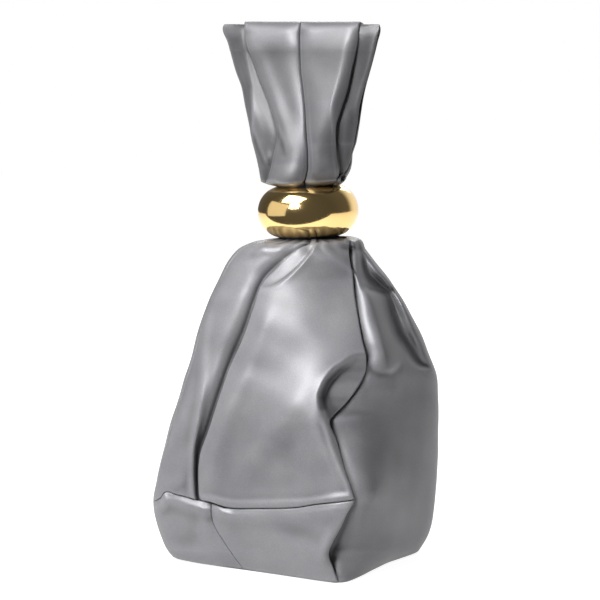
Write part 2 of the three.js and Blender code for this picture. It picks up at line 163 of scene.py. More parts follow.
# Left and right edges of the bag in the picture, by pixel row
OUTLINE = np.array([
    (244, 241, 362.5), (248, 237, 366), (256, 231, 372), (264, 226, 378), (272, 222, 385), (280, 218, 391),
    (288, 214, 396), (296, 210, 402), (304, 207, 407), (320, 201, 415), (336, 196, 423), (352, 192, 429),
    (368, 187, 435), (376, 184, 437), (392, 180, 437.6), (408, 175, 438), (424, 170, 438), (440, 166, 438),
    (456, 162, 438), (472, 158, 437.6), (488, 155, 437), (500, 152.5, 436.4), (512, 153, 435),
    (520, 155, 434), (528, 157, 432), (536, 160, 429), (544, 163, 425), (552, 166.5, 420),
])

# Where the front right edge stands on the plan, by height
EDGE_PLAN = np.array([
    (0, 62, -55.5), (17, 57.5, -58.5), (36.5, 66.5, -59.3), (54.5, 74.5, -57), (73.4, 66.5, -54.8),
    (101.8, 58, -49), (120, 64, -42), (133.6, 69, -35), (162.8, 59.5, -27), (190.8, 49, -15.6),
    (210, 42, -8),
])


def at_level(values, level):
    """A size of the wall, with soft changes up to the gathers and the exact size in the neck."""
    soft = softened(LEVEL_STEPS, values, LEVEL_BEND, 0.02, level)
    share = eased(GATHER_LEVEL, GATHER_LEVEL - 1, level)
    return share * soft + (1 - share) * follow(LEVEL_STEPS, values, level)


def plain_wall(turn, level):
    """The rounded wall: turn 0 is the front left corner, 1 front right, 2 back right, 3 back left."""
    side = np.floor(turn).astype(int) % 4
    run = 2 * (turn - np.floor(turn)) - 1
    one = np.ones_like(run)
    across = np.choose(side, [run, one, -run, -one])
    deep = np.choose(side, [-one, run, one, -run])
    power = at_level(LEVEL_POWERS, level)
    pull = (np.abs(across) ** power + np.abs(deep) ** power) ** (-1 / power)
    corner_pull = 2 ** (-1 / power)
    half_width, half_depth = at_level(LEVEL_WIDTHS, level) / 2, at_level(LEVEL_DEPTHS, level) / 2
    x, y = half_width * across * pull, half_depth * deep * pull
    height = at_level(LEVEL_HEIGHTS, level)
    lean = at_level(LEVEL_LEANS, level)
    centre = np.stack([lean * NECK_LEAN, lean * NECK_SET_BACK, np.zeros_like(lean)], -1)
    heights, *places = EDGE_PLAN.T
    edge_x, edge_y = (softened(heights, place, PLAN_BEND, 0.5, height) for place in places)
    for corner, facing in ((1, 1), (3, -1)):
        near = np.exp(-(((turn - corner + 2) % 4 - 2) / CORNER_SPREAD) ** 2) * eased(*EDGE_FADE, height)
        x = x + facing * near * (edge_x - half_width * corner_pull - centre[..., 0])
        y = y + facing * near * (edge_y + half_depth * corner_pull - centre[..., 1])
    tilt = RING_SLOPE * eased(*TILT_HEIGHTS, height)
    return np.stack([x * np.cos(tilt), y, height + x * np.sin(tilt)], -1) + centre


def wall_edges():
    """The plain wall's left and right edges in the picture, by the outline's rows."""
    across, down, _ = pixels_of(plain_wall(*np.meshgrid(np.linspace(0, 4, 721), np.linspace(0.02, 9.6, 380))))
    rows = [across[np.abs(down - row) < 2.2] for row in OUTLINE[:, 0]]
    return np.array([(row.min(), row.max()) for row in rows])


WALL_EDGES = wall_edges()


def wall(turn, level):
    """The plain wall, drawn sideways until its edges in the picture are the real ones."""
    points = plain_wall(turn, level)
    across, down, depth = pixels_of(points)
    rows, *edges = np.vstack([OUTLINE.T, WALL_EDGES.T])
    want_left, want_right, have_left, have_right = (
        softened(rows, edge, OUTLINE_BEND, 0.5, down) for edge in edges
    )
    share = (across - have_left) / (have_right - have_left)
    moved = (want_left + share * (want_right - want_left) - across) * eased(*OUTLINE_TOP_FADE, down)
    moved = moved * eased(*OUTLINE_FOOT_FADE, down)
    return points + (moved * depth / FOCAL)[..., None] * SIDEWAYS


# Folds, drops and mounds, each a height over places on the picture

FAR = 900  # a reach, in pixels, that takes in all of a piece
CREST = 0.3  # how round a crisp fold is at its crest, as a share of its reach


class Line:
    """A curve through picture points, read down the picture, or across it when it lies flat.

    A point is across and down, and for a form also its height in millimetres and its reaches in
    pixels to the left and right, or above and below. A reach is given once where both are alike
    or where one side is endless."""

    def __init__(self, points, lying=False, crisp=False, endless=None):
        rows = []
        for point in points:
            across, down, height, *reach = point if len(point) > 2 else (*point, 1.0, 6.0)
            rows.append((across, down, height, reach[0], reach[-1]))
        order = 0 if lying else 1
        table = np.array(sorted(rows, key=lambda row: row[order]), float)
        if endless:
            table[:, 3 if endless == "left" else 4] = FAR
        self.lying, self.crisp = lying, crisp
        self.keys, self.places = table[:, order], table[:, 1 - order]
        self.heights, self.lefts, self.rights = table[:, 2:].T

    def key(self, across, down):
        return across if self.lying else down

    def apart(self, across, down):
        """Pixels square to the line, positive to its right or below it."""
        key = self.key(across, down)
        before, at, after = (follow(self.keys, self.places, key + step) for step in (-3, 0, 3))
        slope = (after - before) / 6
        return ((down if self.lying else across) - at) / np.sqrt(1 + slope * slope)

    def height(self, across, down):
        return follow(self.keys, self.heights, self.key(across, down), settled=True)

    def swell(self, across, down):
        """The height of a fold or hollow that runs along the line."""
        key = self.key(across, down)
        apart = self.apart(across, down)
        reach = np.where(apart < 0, follow(self.keys, self.lefts, key), follow(self.keys, self.rights, key))
        share = np.abs(apart) / reach
        if self.crisp:
            shape = np.exp(CREST - np.sqrt(share * share + CREST * CREST)) * eased(3.5, 1.0, share)
        else:
            shape = np.exp(-share * share)
        return self.height(across, down) * shape


class Step:
    """A drop on one side of a line, over an edge this wide, which rises back over its reach."""

    def __init__(self, points, side, edge, lying=False):
        self.line = Line(points, lying)
        self.side = side
        self.edge = edge

    def swell(self, across, down):
        line = self.line
        apart = self.side * line.apart(across, down)
        fallen = eased(-self.edge, self.edge, apart)
        back = 1 - eased(0, 1, apart / follow(line.keys, line.rights, line.key(across, down)))
        return line.height(across, down) * fallen * back


class Mound:
    """A soft round rise or hollow: middle, height in millimetres, reaches in pixels, turn in degrees."""

    def __init__(self, across, down, height, wide, tall, turn=0):
        self.middle, self.height, self.reach = (across, down), height, (wide, tall)
        self.turn = math.radians(turn)

    def swell(self, across, down):
        x, y = across - self.middle[0], down - self.middle[1]
        cos, sin = math.cos(self.turn), math.sin(self.turn)
        along, aside = (x * cos + y * sin) / self.reach[0], (y * cos - x * sin) / self.reach[1]
        return self.height * np.exp(-along * along - aside * aside)


# Seams and edges of the body in the picture

FOLD_EDGE = [
    (310, 243), (296, 250), (286, 258), (276, 268), (265, 279), (259, 288), (255, 302), (248, 322),
    (241, 341), (232, 360), (222, 386), (215, 407), (207, 431), (198, 458), (197, 474), (198, 494),
    (200, 501), (200, 520),
]
RIGHT_EDGE = [
    (342, 232), (349.5, 240), (350, 255), (353, 272), (355, 294), (359, 319), (363, 341), (367, 358),
    (367, 368), (364, 377), (355, 392), (344, 406), (330, 420.5), (337, 440), (345.5, 468), (353, 490),
    (355.5, 500), (349, 512), (342, 528), (334, 543), (329, 555), (333, 566), (338.5, 582),
]
BAND_SEAM = [
    (150, 503), (156, 500.5), (160.5, 498), (164, 493), (168, 492), (173, 494), (185, 497), (196, 500),
    (210, 502.5), (217, 505), (227, 508), (241, 509), (267, 509), (294, 508), (314, 505), (349, 501),
    (355, 500), (370, 499),
]
UPRIGHT_SEAM = [(210.5, 496), (211, 503), (211.4, 517), (214.6, 526), (224, 542), (233, 556), (243, 570)]

fold_line = Line(FOLD_EDGE)
right_line = Line(RIGHT_EDGE)
band_line = Line(BAND_SEAM, lying=True)
upright_line = Line(UPRIGHT_SEAM)

# Forms of the body's leather

LEFT_PANEL_FORMS = [
    # Down into the centre fold
    Line([
        (310, 243, -3.4, 5), (286, 258, -4.6, 7), (265, 279, -5.2, 8), (255, 302, -5.6, 8),
        (248, 322, -5.8, 8), (232, 360, -5.8, 7), (215, 407, -5.4, 6), (207, 431, -5, 5),
        (198, 458, -4.8, 4.5), (197, 474, -4.6, 3.5), (198, 494, -4.2, 3.5), (200, 503, -3.6, 3.5),
    ], crisp=True, endless="right"),
    # Roll along the fold's lower half
    Line([
        (212, 285, 0, 5, 6), (208, 310, 0.6, 4, 6), (206, 331, 0.9, 4, 6), (203, 360, 1, 4, 6),
        (201, 396, 1.4, 5), (197, 425, 2, 5, 4), (193.2, 455, 2.8, 5, 3), (193.4, 480, 3, 5, 3),
        (195, 498, 2.2, 5, 3),
    ]),
    # Ridges near the left edge
    Line([(190, 372, 0, 7), (183, 403, 0.9, 7), (177, 432, 1.1, 7), (172, 456, 0, 7)]),
    Line([(193, 436, 0, 7), (187, 458, 0.9, 8, 7), (180, 478, 1.3, 8, 7), (171, 492, 0, 7)]),
    # Long low swell from the gathers
    Line([(226, 262, 0, 12), (214, 300, 0.8, 12), (200, 345, 0.8, 10), (190, 385, 0, 9)]),
    # Pucker under the ring
    Mound(262, 249, 1.2, 14, 6),
]
RIGHT_PANEL_FORMS = [
    # Fullness of the leather over the fold
    Line([
        (296, 250, 0, 30), (265, 279, 1.2, 40), (255, 302, 2.6, 48), (241, 341, 3.6, 54),
        (222, 386, 3.6, 58), (207, 431, 2.6, 60), (198, 458, 1.8, 60), (200, 501, 0.8, 60),
    ], endless="left"),
    # Its edge, turned down into the fold
    Line([
        (296, 250, -0.8, 5), (265, 279, -1.2, 6), (255, 302, -2.2, 7), (241, 341, -2.6, 8),
        (222, 386, -2.6, 8), (207, 431, -2.4, 7), (198, 458, -2, 6), (197, 480, -1.6, 6), (200, 501, -1, 5),
    ], crisp=True, endless="left"),
    # Low ridge beside the fold
    Line([
        (272, 300, 0, 9), (261, 330, 0.8, 9), (246, 368, 1.1, 9), (231, 405, 1.2, 9),
        (219, 440, 1.1, 8, 10), (213, 470, 0.7, 8, 10), (211, 494, 0, 8, 10),
    ]),
    # Flap that lies over under the ring, and its rim
    Step([
        (318, 240, -0.5, 60), (313, 248, -1.6, 60), (305, 259, -2.8, 60), (294, 271, -3, 60),
        (285, 279, -2.6, 60), (275, 286, -1.6, 60), (264, 290, 0, 60),
    ], side=-1, edge=1.6),
    Line([
        (313, 249, 0.3, 2, 4), (305, 259, 0.6, 2, 5), (294, 271, 0.6, 2, 5), (275, 286, 0.4, 2, 5),
        (262, 292, 0, 2, 5),
    ]),
    # Hollow above the band
    Line([(292, 420, 0, 12), (291, 448, -1.2, 13), (291, 476, -1, 14), (291, 503, 0, 14)]),
    # Swell that slants down to the left
    Line([
        (303, 376, 0, 12), (290, 407, 0.9, 13), (268, 440, 1.2, 13), (246, 470, 0.8, 12), (234, 496, 0, 12),
    ]),
    # Swell that slants down to the pointed corner
    Line([
        (312, 392, 0, 9, 6), (317, 425, 0.9, 9, 6), (326, 452, 1, 9, 6), (337, 478, 0.6, 9, 6),
        (344, 494, 0, 9, 6),
    ]),
    # Crest beside the pocket, and dip above it
    Mound(306, 416, 2.8, 28, 48, 15),
    Mound(330, 330, -0.8, 20, 40, -10),
    # Pocket on the right edge
    Step([
        (356, 352, 0, 90), (349, 361, -2.5, 90), (335, 372, -5.5, 90), (326, 384, -7, 90),
        (321, 397, -7, 90), (322, 408, -5.5, 90), (327, 417, -3, 90), (331, 426, 0, 90),
    ], side=1, edge=5),
    # Rolled rim of the pocket, down to the pointed corner
    Line([
        (350, 357, 0, 6, 2), (335, 371, 0.6, 6, 2), (324, 384, 1.2, 6, 2), (320, 397, 1.5, 6, 2),
        (321, 409, 1.6, 5, 3), (326, 425, 1.5, 4, 3), (332.5, 446, 1.4, 4, 3), (341, 469, 1.3, 4, 3),
        (349, 490, 1, 4, 3), (351, 499, 0.4, 4, 3),
    ]),
    # Fullness over the band's seam
    Line([(200, 497, 0.6, 4), (240, 504, 0.8, 4), (294, 503, 0.8, 4), (345, 497, 0.9, 4)], lying=True),
]
SIDE_FORMS = [
    # Crease where the side runs in under the front
    Line([
        (349.5, 240, -2.4, 4), (350, 255, -3.4, 4), (353, 272, -3.6, 5), (355, 294, -3.6, 6),
        (359, 319, -3.6, 7), (363, 341, -3.8, 7), (367, 358, -4.2, 8), (367, 369, -4.4, 8),
        (362, 381, -4.2, 9), (351, 395, -3.6, 9), (340, 410, -3, 9), (330, 421, -2.4, 9),
        (337, 440, -1.8, 9), (345, 465, -1.5, 9), (353, 490, -1.3, 8), (355.5, 500, -2, 7),
        (349, 512, -4.4, 8), (342, 528, -6.6, 9), (335, 543, -7.4, 11), (331, 555, -7, 12),
        (333, 566, -5, 10), (338.5, 580, -1.6, 7),
    ], crisp=True, endless="left"),
    # First hanging fold below the gathers
    Line([
        (355, 243, 0.8, 4), (359, 262, 1.2, 6, 5), (366, 285, 1.4, 10, 8), (374, 310, 2, 15, 11),
        (382, 335, 2.8, 18, 13), (386, 352, 3, 19, 14), (387, 368, 2.2, 19, 14), (386, 388, 0.7, 18, 15),
        (385, 408, 0, 18, 16),
    ]),
    # Deep hollow beside it
    Line([
        (359, 245, -1.6, 3, 4), (368, 272, -4.4, 6), (379, 284, -5.6, 8, 7), (388, 292, -5.8, 9, 7),
        (392, 303, -5.8, 9, 7), (395, 317, -5.6, 8), (400, 332, -5.2, 7, 8), (408, 345, -4.4, 6, 8),
        (420, 363, -2.8, 5, 6), (431, 372, 0, 4),
    ]),
    # Second hanging fold, along the far edge
    Line([
        (356, 241, 1, 4, 6), (370, 257, 2, 5, 8), (384, 276, 3, 6, 9), (397, 295, 3.4, 6, 10),
        (409, 316, 3.4, 6, 10), (419, 337, 3, 6, 10), (428, 357, 2, 6, 10), (435, 374, 0.6, 6, 10),
        (437, 386, 0, 6, 10),
    ]),
    # Nick where the hollow starts
    Line([
        (366, 286.5, 0, 1.6, 3), (372, 289, -0.9, 1.6, 3), (382, 292, -0.9, 1.6, 3), (388, 294, 0, 1.6, 3),
    ], lying=True),
    # Lower lip of the first fold
    Step([
        (366, 364, 0, 18), (373, 369, -1, 20), (381, 372, -1.8, 22), (389, 372, -1.8, 22),
        (397, 367, -1, 20), (405, 360, 0, 18),
    ], side=1, edge=3.5, lying=True),
    # Slack hollow down the middle
    Line([
        (358, 350, 0, 12, 16), (364, 376, -0.6, 14, 18), (373, 402, -1.4, 18, 20), (388, 436, -1.6, 20),
        (405, 474, -1, 20), (414, 510, 0, 20),
    ]),
    # Hollow in front of the pocket
    Mound(354, 408, -3.4, 34, 38),
    # Ridge that slants from the pocket to the foot
    Line([
        (338, 424, 0, 12, 18), (352, 455, 2, 14, 20), (370, 485, 2.4, 17, 22), (388, 516, 1.8, 17, 20),
        (398, 545, 0, 16, 18),
    ]),
    # Swell along the far edge
    Line([(408, 380, 0, 14), (418, 425, 1, 14), (424, 465, 1, 14), (424, 510, 0, 14)]),
]
UPRIGHT_CREASE = Line([
    (210.5, 498, -2, 4), (211, 505, -2.2, 5), (211.4, 517, -1.6, 4), (214.6, 526, -0.9, 4),
    (224, 542, -0.4, 3), (233, 556, 0, 3),
], crisp=True)
BAND_LEFT_FORMS = [
    UPRIGHT_CREASE,
    # Fullness under the seam
    Line([
        (158, 507, 0.8, 4, 7), (170, 500, 1.4, 4, 7), (190, 505, 2.2, 4, 8), (205, 509, 1.8, 4, 8),
    ], lying=True),
    # Fold at the left corner
    Line([(163, 494, 1.6, 4), (164, 504, 0.8, 4, 5), (166, 516, 0, 4, 6)]),
    # Shallow waves
    Mound(188, 540, -0.8, 16, 12),
    Mound(203, 528, 0.7, 8, 18),
]
BAND_RIGHT_FORMS = [
    UPRIGHT_CREASE,
    # Fullness under the seam
    Line([
        (213, 508, 1.8, 4, 7), (220, 511, 2.4, 4, 8), (235, 516, 1.3, 5, 9), (290, 515, 0.8, 5, 9),
        (330, 511, 0.9, 5, 8), (352, 507, 0.2, 5, 7),
    ], lying=True),
    # Rim of the tucked corner
    Line([
        (353, 503, 0.4, 5, 3), (345, 515, 1, 7, 3), (337, 530, 1.6, 9, 4), (329, 545, 2.2, 10, 4),
        (324, 555, 1.8, 9, 5), (326, 566, 0.6, 8, 5), (330, 578, 0, 8, 5),
    ]),
    # Shallow waves
    Mound(300, 532, -1.2, 20, 10, 12),
    Mound(255, 530, 0.6, 24, 16),
    Mound(326, 546, 1, 6, 14, 12),
]

# Two halves of the bag: the picture shows the front, and the back is its twin turned half round

FRONT, BACK = 0, 1
BODY_SEEDS = (11, 12)
FORM_STRENGTHS = (1.0, 0.85)
FORM_FADE, RIPPLE_FADE = (236, 250), (236, 262)  # picture rows under the ring where each sets in


def ripple(points, seed, size=1.0):
    """A gentle unevenness with no direction of its own, the same on each run."""
    made = np.random.default_rng(seed)
    total = np.zeros(points.shape[:-1])
    for wave in (70.0, 46.0, 31.0, 21.0):
        for _ in range(3):
            way = made.normal(size=3)
            way /= np.linalg.norm(way)
            total += wave / 70 * np.sin(points @ way * (2 * math.pi / wave) + made.uniform(0, 6.3))
    return total * 0.16 * size


def turned(points):
    """A back point turned half round the bag's middle line, to where the picture shows its twin."""
    height = points[..., 2]
    lean = follow(LEVEL_HEIGHTS, LEVEL_LEANS, height)
    x = 2 * lean * NECK_LEAN - points[..., 0]
    y = 2 * lean * NECK_SET_BACK - points[..., 1]
    tilt = RING_SLOPE * eased(*TILT_HEIGHTS, height)
    return np.stack([x, y, height + 2 * (x - lean * NECK_LEAN) * np.sin(tilt)], -1)


def seen(points, half):
    """Picture place of a point, and the way to the eye, for its half; the back's folds wander a little."""
    twins = turned(points) if half == BACK else points
    across, down, _ = pixels_of(twins)
    way = EYE - twins
    way /= np.linalg.norm(way, axis=-1, keepdims=True)
    if half == BACK:
        across = across + 2.5 * np.sin(down / 31 + 1)
        down = down + 2 * np.sin(down / 43)
        way = way * np.array([-1, -1, 1])
    return across, down, way


def raised(points, half, forms, normals):
    """Points moved by the forms, along the view, so that each form stays where the picture shows it."""
    across, down, way = seen(points, half)
    facing = np.sum(normals * way, axis=-1)
    height = sum(form.swell(across, down) for form in forms)
    height = height * FORM_STRENGTHS[half] * eased(*FORM_FADE, down) * eased(-0.02, 0.3, facing)
    moved = points + way * (height / np.maximum(facing, 0.5))[..., None]
    return moved + normals * (ripple(points, BODY_SEEDS[half]) * eased(*RIPPLE_FADE, down))[..., None]


# Edges of a piece: distances in from the edge and drops below the surface, from the edge inwards

CUT_EDGE = [(0.0, 0.0), (0.6, 0.0), (1.4, 0.0), (2.4, 0.0)]


def rolled_curve(radius, degrees, count):
    turns = np.radians(np.linspace(degrees, 0, count))
    curve = [(radius * (1 - math.sin(a)), -radius * (1 - math.cos(a))) for a in turns]
    return curve + [(radius + 0.4, 0.0), (radius + 1.0, 0.0), (radius + 1.8, 0.0)]


def rolled_edge(radius):
    return rolled_curve(radius, 90, 7)


def curled_edge(radius, tuck):
    under = [(radius + tuck, -2 * radius), (radius + tuck / 2, -2 * radius)]
    return under + rolled_curve(radius, 180, 13)


def first_crossing(values):
    """Fractional column where each row turns positive after its lowest, or its highest if none does."""
    columns = np.arange(values.shape[1])[None, :]
    reached = (values > 0) & (columns > np.argmin(values, axis=1)[:, None])
    spot = np.where(reached.any(axis=1), np.argmax(reached, axis=1), np.argmax(values, axis=1))
    spot = np.clip(spot, 1, values.shape[1] - 1)
    rows = np.arange(len(values))
    low, high = values[rows, spot - 1], values[rows, spot]
    return spot - 1 + np.clip(-low / np.where(high == low, 1, high - low), 0, 1)


class Border:
    """One side of a piece: a fixed turn or a picture line, moved by a shift in millimetres, with its edge."""

    def __init__(self, place, edge, shift=0.0):
        self.place, self.edge, self.shift = place, edge, shift

    def length_at(self, turns, across, down, lengths):
        if isinstance(self.place, Line):
            spot = first_crossing(self.place.apart(across, down))
        else:
            spot = np.full(len(lengths), np.interp(self.place, turns, np.arange(len(turns))))
        whole = np.clip(spot.astype(int), 0, len(turns) - 2)
        rows = np.arange(len(lengths))
        part = spot - whole
        return lengths[rows, whole] * (1 - part) + lengths[rows, whole + 1] * part + self.shift


def lay_columns(surface, span, rows, half, left, right, grain, steady):
    """Turns of a grid whose columns follow both borders, and how far each column dips at the edges."""
    turns = np.linspace(*span, 640)
    points = surface(*np.meshgrid(turns, rows))
    across, down, _ = seen(points, half)
    lengths = lengths_along(points)
    window = np.hanning(steady + 2)[1:-1]
    start, end = (
        np.convolve(np.pad(ends, steady // 2, "edge"), window / window.sum(), "valid")[:, None]
        for ends in (border.length_at(turns, across, down, lengths) for border in (left, right))
    )
    left_in, left_drop = np.array(left.edge).T
    right_in, right_drop = np.array(right.edge)[::-1].T
    reach = left_in[-1] + right_in[0]
    count = max(int(((end - start).max() - reach) / grain), 4)
    shrink = np.minimum(1, 0.7 * (end - start) / reach)
    first, last = start + left_in[-1] * shrink, end - right_in[0] * shrink
    middle = first + (last - first) * np.linspace(0, 1, count + 1)[None, 1:-1]
    placed = np.concatenate([start + left_in * shrink, middle, end - right_in * shrink], axis=1)
    found = np.array([np.interp(want, have, turns) for want, have in zip(placed, lengths)])
    return found, np.concatenate([left_drop, np.zeros(count - 1), right_drop])[None, :]


SPACING = 0.95  # millimetres between the leather's rows and columns


def spacing():
    return SPACING * 1.0


def even_rows(low, high, low_edge, high_edge=()):
    """Shares of the way up between two levels, evenly spaced up the wall but closer at rolled edges."""
    levels = np.linspace(low, high, 600)
    path = wall(np.full(600, 0.5), levels)
    run = np.concatenate([[0], np.cumsum(np.linalg.norm(np.diff(path, axis=0), axis=1))])
    begin = low_edge[-1][0]
    end = run[-1] - high_edge[-1][0] if high_edge else run[-1]
    middle = np.linspace(begin, end, int((end - begin) / spacing()) + 1)[1: -1 if high_edge else None]
    placed = [d for d, _ in low_edge] + list(middle) + [run[-1] - d for d, _ in high_edge[::-1]]
    drops = [h for _, h in low_edge] + [0.0] * len(middle) + [h for _, h in high_edge[::-1]]
    return np.interp(placed, run, (levels - low) / (high - low)), np.array(drops)


# Meshes

FLOOR_GAP = 0.1
LINING_THICKNESS = 0.7


def select_only(piece=None):
    if bpy.context.object and bpy.context.object.mode != "OBJECT":
        bpy.ops.object.mode_set(mode="OBJECT")
    bpy.ops.object.select_all(action="DESELECT")
    if piece:
        piece.select_set(True)
        bpy.context.view_layer.objects.active = piece


def leather_grid(name, points, thickness, shade):
    """A thick smooth mesh under a grid of points in millimetres, columns anticlockwise, rows up."""
    rows, columns = points.shape[:2]
    corner = (np.arange(rows - 1)[:, None] * columns + np.arange(columns - 1)[None, :]).ravel()
    faces = np.stack([corner, corner + 1, corner + columns + 1, corner + columns], axis=1)
    mesh = bpy.data.meshes.new(name)
    mesh.from_pydata((points.reshape(-1, 3) * MM).tolist(), [], faces.tolist())
    mesh.polygons.foreach_set("use_smooth", np.ones(len(faces), bool))
    # painted light and shade for the leather's colour: darker creases and tucks, lighter crests
    held = mesh.attributes.new("painted_fold_light_and_shade", "FLOAT", "POINT")
    held.data.foreach_set("value", np.clip(shade, 0, 1).ravel().astype(np.float32))
    mesh.update()
    piece = bpy.data.objects.new(name, mesh)
    bpy.context.scene.collection.objects.link(piece)
    select_only(piece)
    walls = piece.modifiers.new("thickness", "SOLIDIFY")
    walls.thickness = thickness * MM
    walls.offset = -1
    bpy.ops.object.modifier_apply(modifier=walls.name)
    corners = piece.data.vertices
    places = np.empty(3 * len(corners))
    corners.foreach_get("co", places)
    places[2::3] = np.maximum(places[2::3], FLOOR_GAP * MM)
    corners.foreach_set("co", places)
    return piece


def hold_to_bag_and_ring(piece):
    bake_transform(piece)


# The body's panels


def seam_levels(half):
    """The level of the band's top seam, by turn."""
    turns = np.linspace(-0.4, 1.6, 240)
    levels = np.linspace(1.1, 3.2, 260)
    grid_levels, grid_turns = np.meshgrid(levels, turns)
    across, down, _ = seen(wall(grid_turns + 2 * half, grid_levels), half)
    spot = first_crossing(-band_line.apart(across, down))
    return turns, np.interp(spot, np.arange(len(levels)), levels)


def painted_fold_shading(points, normals):
    """Painted shade that darkens the creases more than what lies round them, and a painted highlight that
    makes the crests a little brighter.
    """
    soft = points.copy()
    for _ in range(12):
        soft[1:-1] = (soft[:-2] + 2 * soft[1:-1] + soft[2:]) / 4
        soft[:, 1:-1] = (soft[:, :-2] + 2 * soft[:, 1:-1] + soft[:, 2:]) / 4
    return np.clip(0.5 + 1.1 * np.sum((soft - points) * normals, axis=-1), 0, 1)


def tucked_shade(points, left, right, reach):
    """The contact shade of leather where it runs in under its neighbour."""
    lengths = lengths_along(points)
    shade = np.zeros(lengths.shape)
    for border, inward in ((left, lengths), (right, lengths[:, -1:] - lengths)):
        if border.edge is CUT_EDGE:
            shade += 0.5 * np.exp(-np.maximum(inward - abs(border.shift), 0) / reach)
    return shade


def steady_normals(points, turns):
    """Outward directions; columns that turn back under an edge take those of the leather above them."""
    mean = turns.mean(axis=0)
    first, last = int(np.argmin(mean)), int(np.argmax(mean))
    upper = slice(first, last + 1)
    normals = np.zeros(points.shape)
    normals[:, upper] = normals_of(points[:, upper])
    for back in [*range(first), *range(last + 1, len(mean))]:
        for row, turn in enumerate(turns[:, back]):
            for axis in range(3):
                normals[row, back, axis] = np.interp(turn, turns[row, upper], normals[row, upper, axis])
    length = np.linalg.norm(normals, axis=-1)
    for row, column in np.argwhere(length == 0):  # columns that meet in one point take their neighbour's
        known = np.flatnonzero(length[row])
        normals[row, column] = normals[row, known[np.abs(known - column).argmin()]]
    return normals / np.linalg.norm(normals, axis=-1, keepdims=True)


PLEAT_DEPTH, PLEATS_BY_TURN = 0.3, 11  # the fine gathers just under the neck
PLEAT_RISE, PLEAT_FALL = (196, 206), (209, 210)  # heights over which they come and go
NECK_RISE, NECK_FLATTENING = (206, 209.5), 0.75  # where edges lie flatter, and by how much
LEAST_HEIGHT = 0.2


def body_panel(name, half, levels, rows, span, left, right, forms, thickness):
    """Leather between two borders and two levels, which are given by turn, raised by its forms."""
    low_of, high_of = levels
    shares, row_drops = rows

    def surface(turn, row):
        low, high = low_of(turn), high_of(turn)
        return wall(turn + 2 * half, low + (high - low) * row)

    turns, drops = lay_columns(surface, span, shares, half, left, right, spacing(), steady=9)
    points = surface(turns, shares[:, None])
    moved = raised(points, half, forms, steady_normals(points, turns))
    outward = steady_normals(moved, turns)
    height = points[..., 2]
    total = (drops + row_drops[:, None]) * (1 - NECK_FLATTENING * eased(*NECK_RISE, height))
    gather = eased(*PLEAT_RISE, height) * (1 - eased(*PLEAT_FALL, height))
    pleats = PLEAT_DEPTH * gather * np.sin(turns * math.pi * PLEATS_BY_TURN + 0.6 * BODY_SEEDS[half])
    moved = moved + outward * (total + pleats)[..., None]
    moved[..., 2] = np.maximum(moved[..., 2], LEAST_HEIGHT)
    # painted shade in the creases and where the leather runs in under its neighbour, and painted highlights
    # on the crests, carried into the leather's colour
    shade = painted_fold_shading(moved, outward) + tucked_shade(moved, left, right, reach=2.6)
    return leather_grid(name, moved, thickness, shade)


def floor_level(turn):
    return np.zeros_like(turn)


def top_level(turn):
    return np.full_like(turn, TOP_LEVEL)


def make_face(half, prefix, look):
    """The four leather pieces of the front or back, each in the place of its node."""
    seam_turns, seam_heights = seam_levels(half)

    def seam(turn):
        return np.interp(turn, seam_turns, seam_heights)

    roll = rolled_edge(1.1)
    panel = (seam, top_level), even_rows(BAND_TOP_LEVEL, TOP_LEVEL, roll)
    band = (floor_level, seam), even_rows(0, BAND_TOP_LEVEL, rolled_edge(2.2), roll)
    left_end, right_end = Border(0.0, rolled_edge(1.0)), Border(right_line, curled_edge(1.3, 4.0))
    under_fold = Border(fold_line, CUT_EDGE, look.fold_overlap / MM)
    over_fold = Border(fold_line, curled_edge(1.7, 3.0))
    seam_left, seam_right = Border(upright_line, rolled_edge(0.9)), Border(upright_line, rolled_edge(1.0))
    left_span, right_span = (-0.1, 1.1), (0.02, 1.75)
    for node, (levels, rows), span, left, right, forms in (
        ("left_panel", panel, left_span, left_end, under_fold, LEFT_PANEL_FORMS),
        ("right_panel", panel, right_span, over_fold, right_end, RIGHT_PANEL_FORMS),
        ("band_left", band, left_span, left_end, seam_left, BAND_LEFT_FORMS),
        ("band_right", band, right_span, seam_right, right_end, BAND_RIGHT_FORMS),
    ):
        name = f"{prefix}_{node}_leather"
        piece = body_panel(name, half, levels, rows, span, left, right, forms, look.leather_thickness / MM)
        hold_to_bag_and_ring(piece)
        settle(piece, "leather", f"{prefix}_{node}")


def make_side(half, node, look):
    """A side of the bag in one piece, from the floor to the gathers."""
    rows = even_rows(0, TOP_LEVEL, rolled_edge(2.2))
    left = Border(right_line, CUT_EDGE, -look.fold_overlap / MM)
    right = Border(2.0, rolled_edge(1.0))
    piece = body_panel(node + "_leather", half, (floor_level, top_level), rows, (0.3, 2.2), left, right,
                       SIDE_FORMS, look.leather_thickness / MM)
    hold_to_bag_and_ring(piece)
    settle(piece, "leather", node)


# Finishes


def plug(tree, value, socket):
    if isinstance(value, bpy.types.NodeSocket):
        tree.links.new(value, socket)
    else:
        socket.default_value = value


def add_node(tree, kind, **values):
    """A shader node and its settings, by input label or property name; a value may be a socket."""
    node = tree.nodes.new("ShaderNode" + kind)
    for key, value in values.items():
        label = key.replace("_", " ")
        if label in node.inputs:
            plug(tree, value, node.inputs[label])
        else:
            setattr(node, key, value)
    return node


def joined(tree, kind, first, second, spot=0, **values):
    """A node that joins two values, which are its inputs at the spot and the next one."""
    node = add_node(tree, kind, **values)
    plug(tree, first, node.inputs[spot])
    plug(tree, second, node.inputs[spot + 1])
    return node


def multiplied(tree, first, second):
    """Two colours multiplied; the mix node's colour sockets come seventh, eighth and, going out, third."""
    mix = joined(tree, "Mix", first, second, spot=6, data_type="RGBA", blend_type="MULTIPLY")
    mix.inputs[0].default_value = 1.0
    return mix.outputs[2]


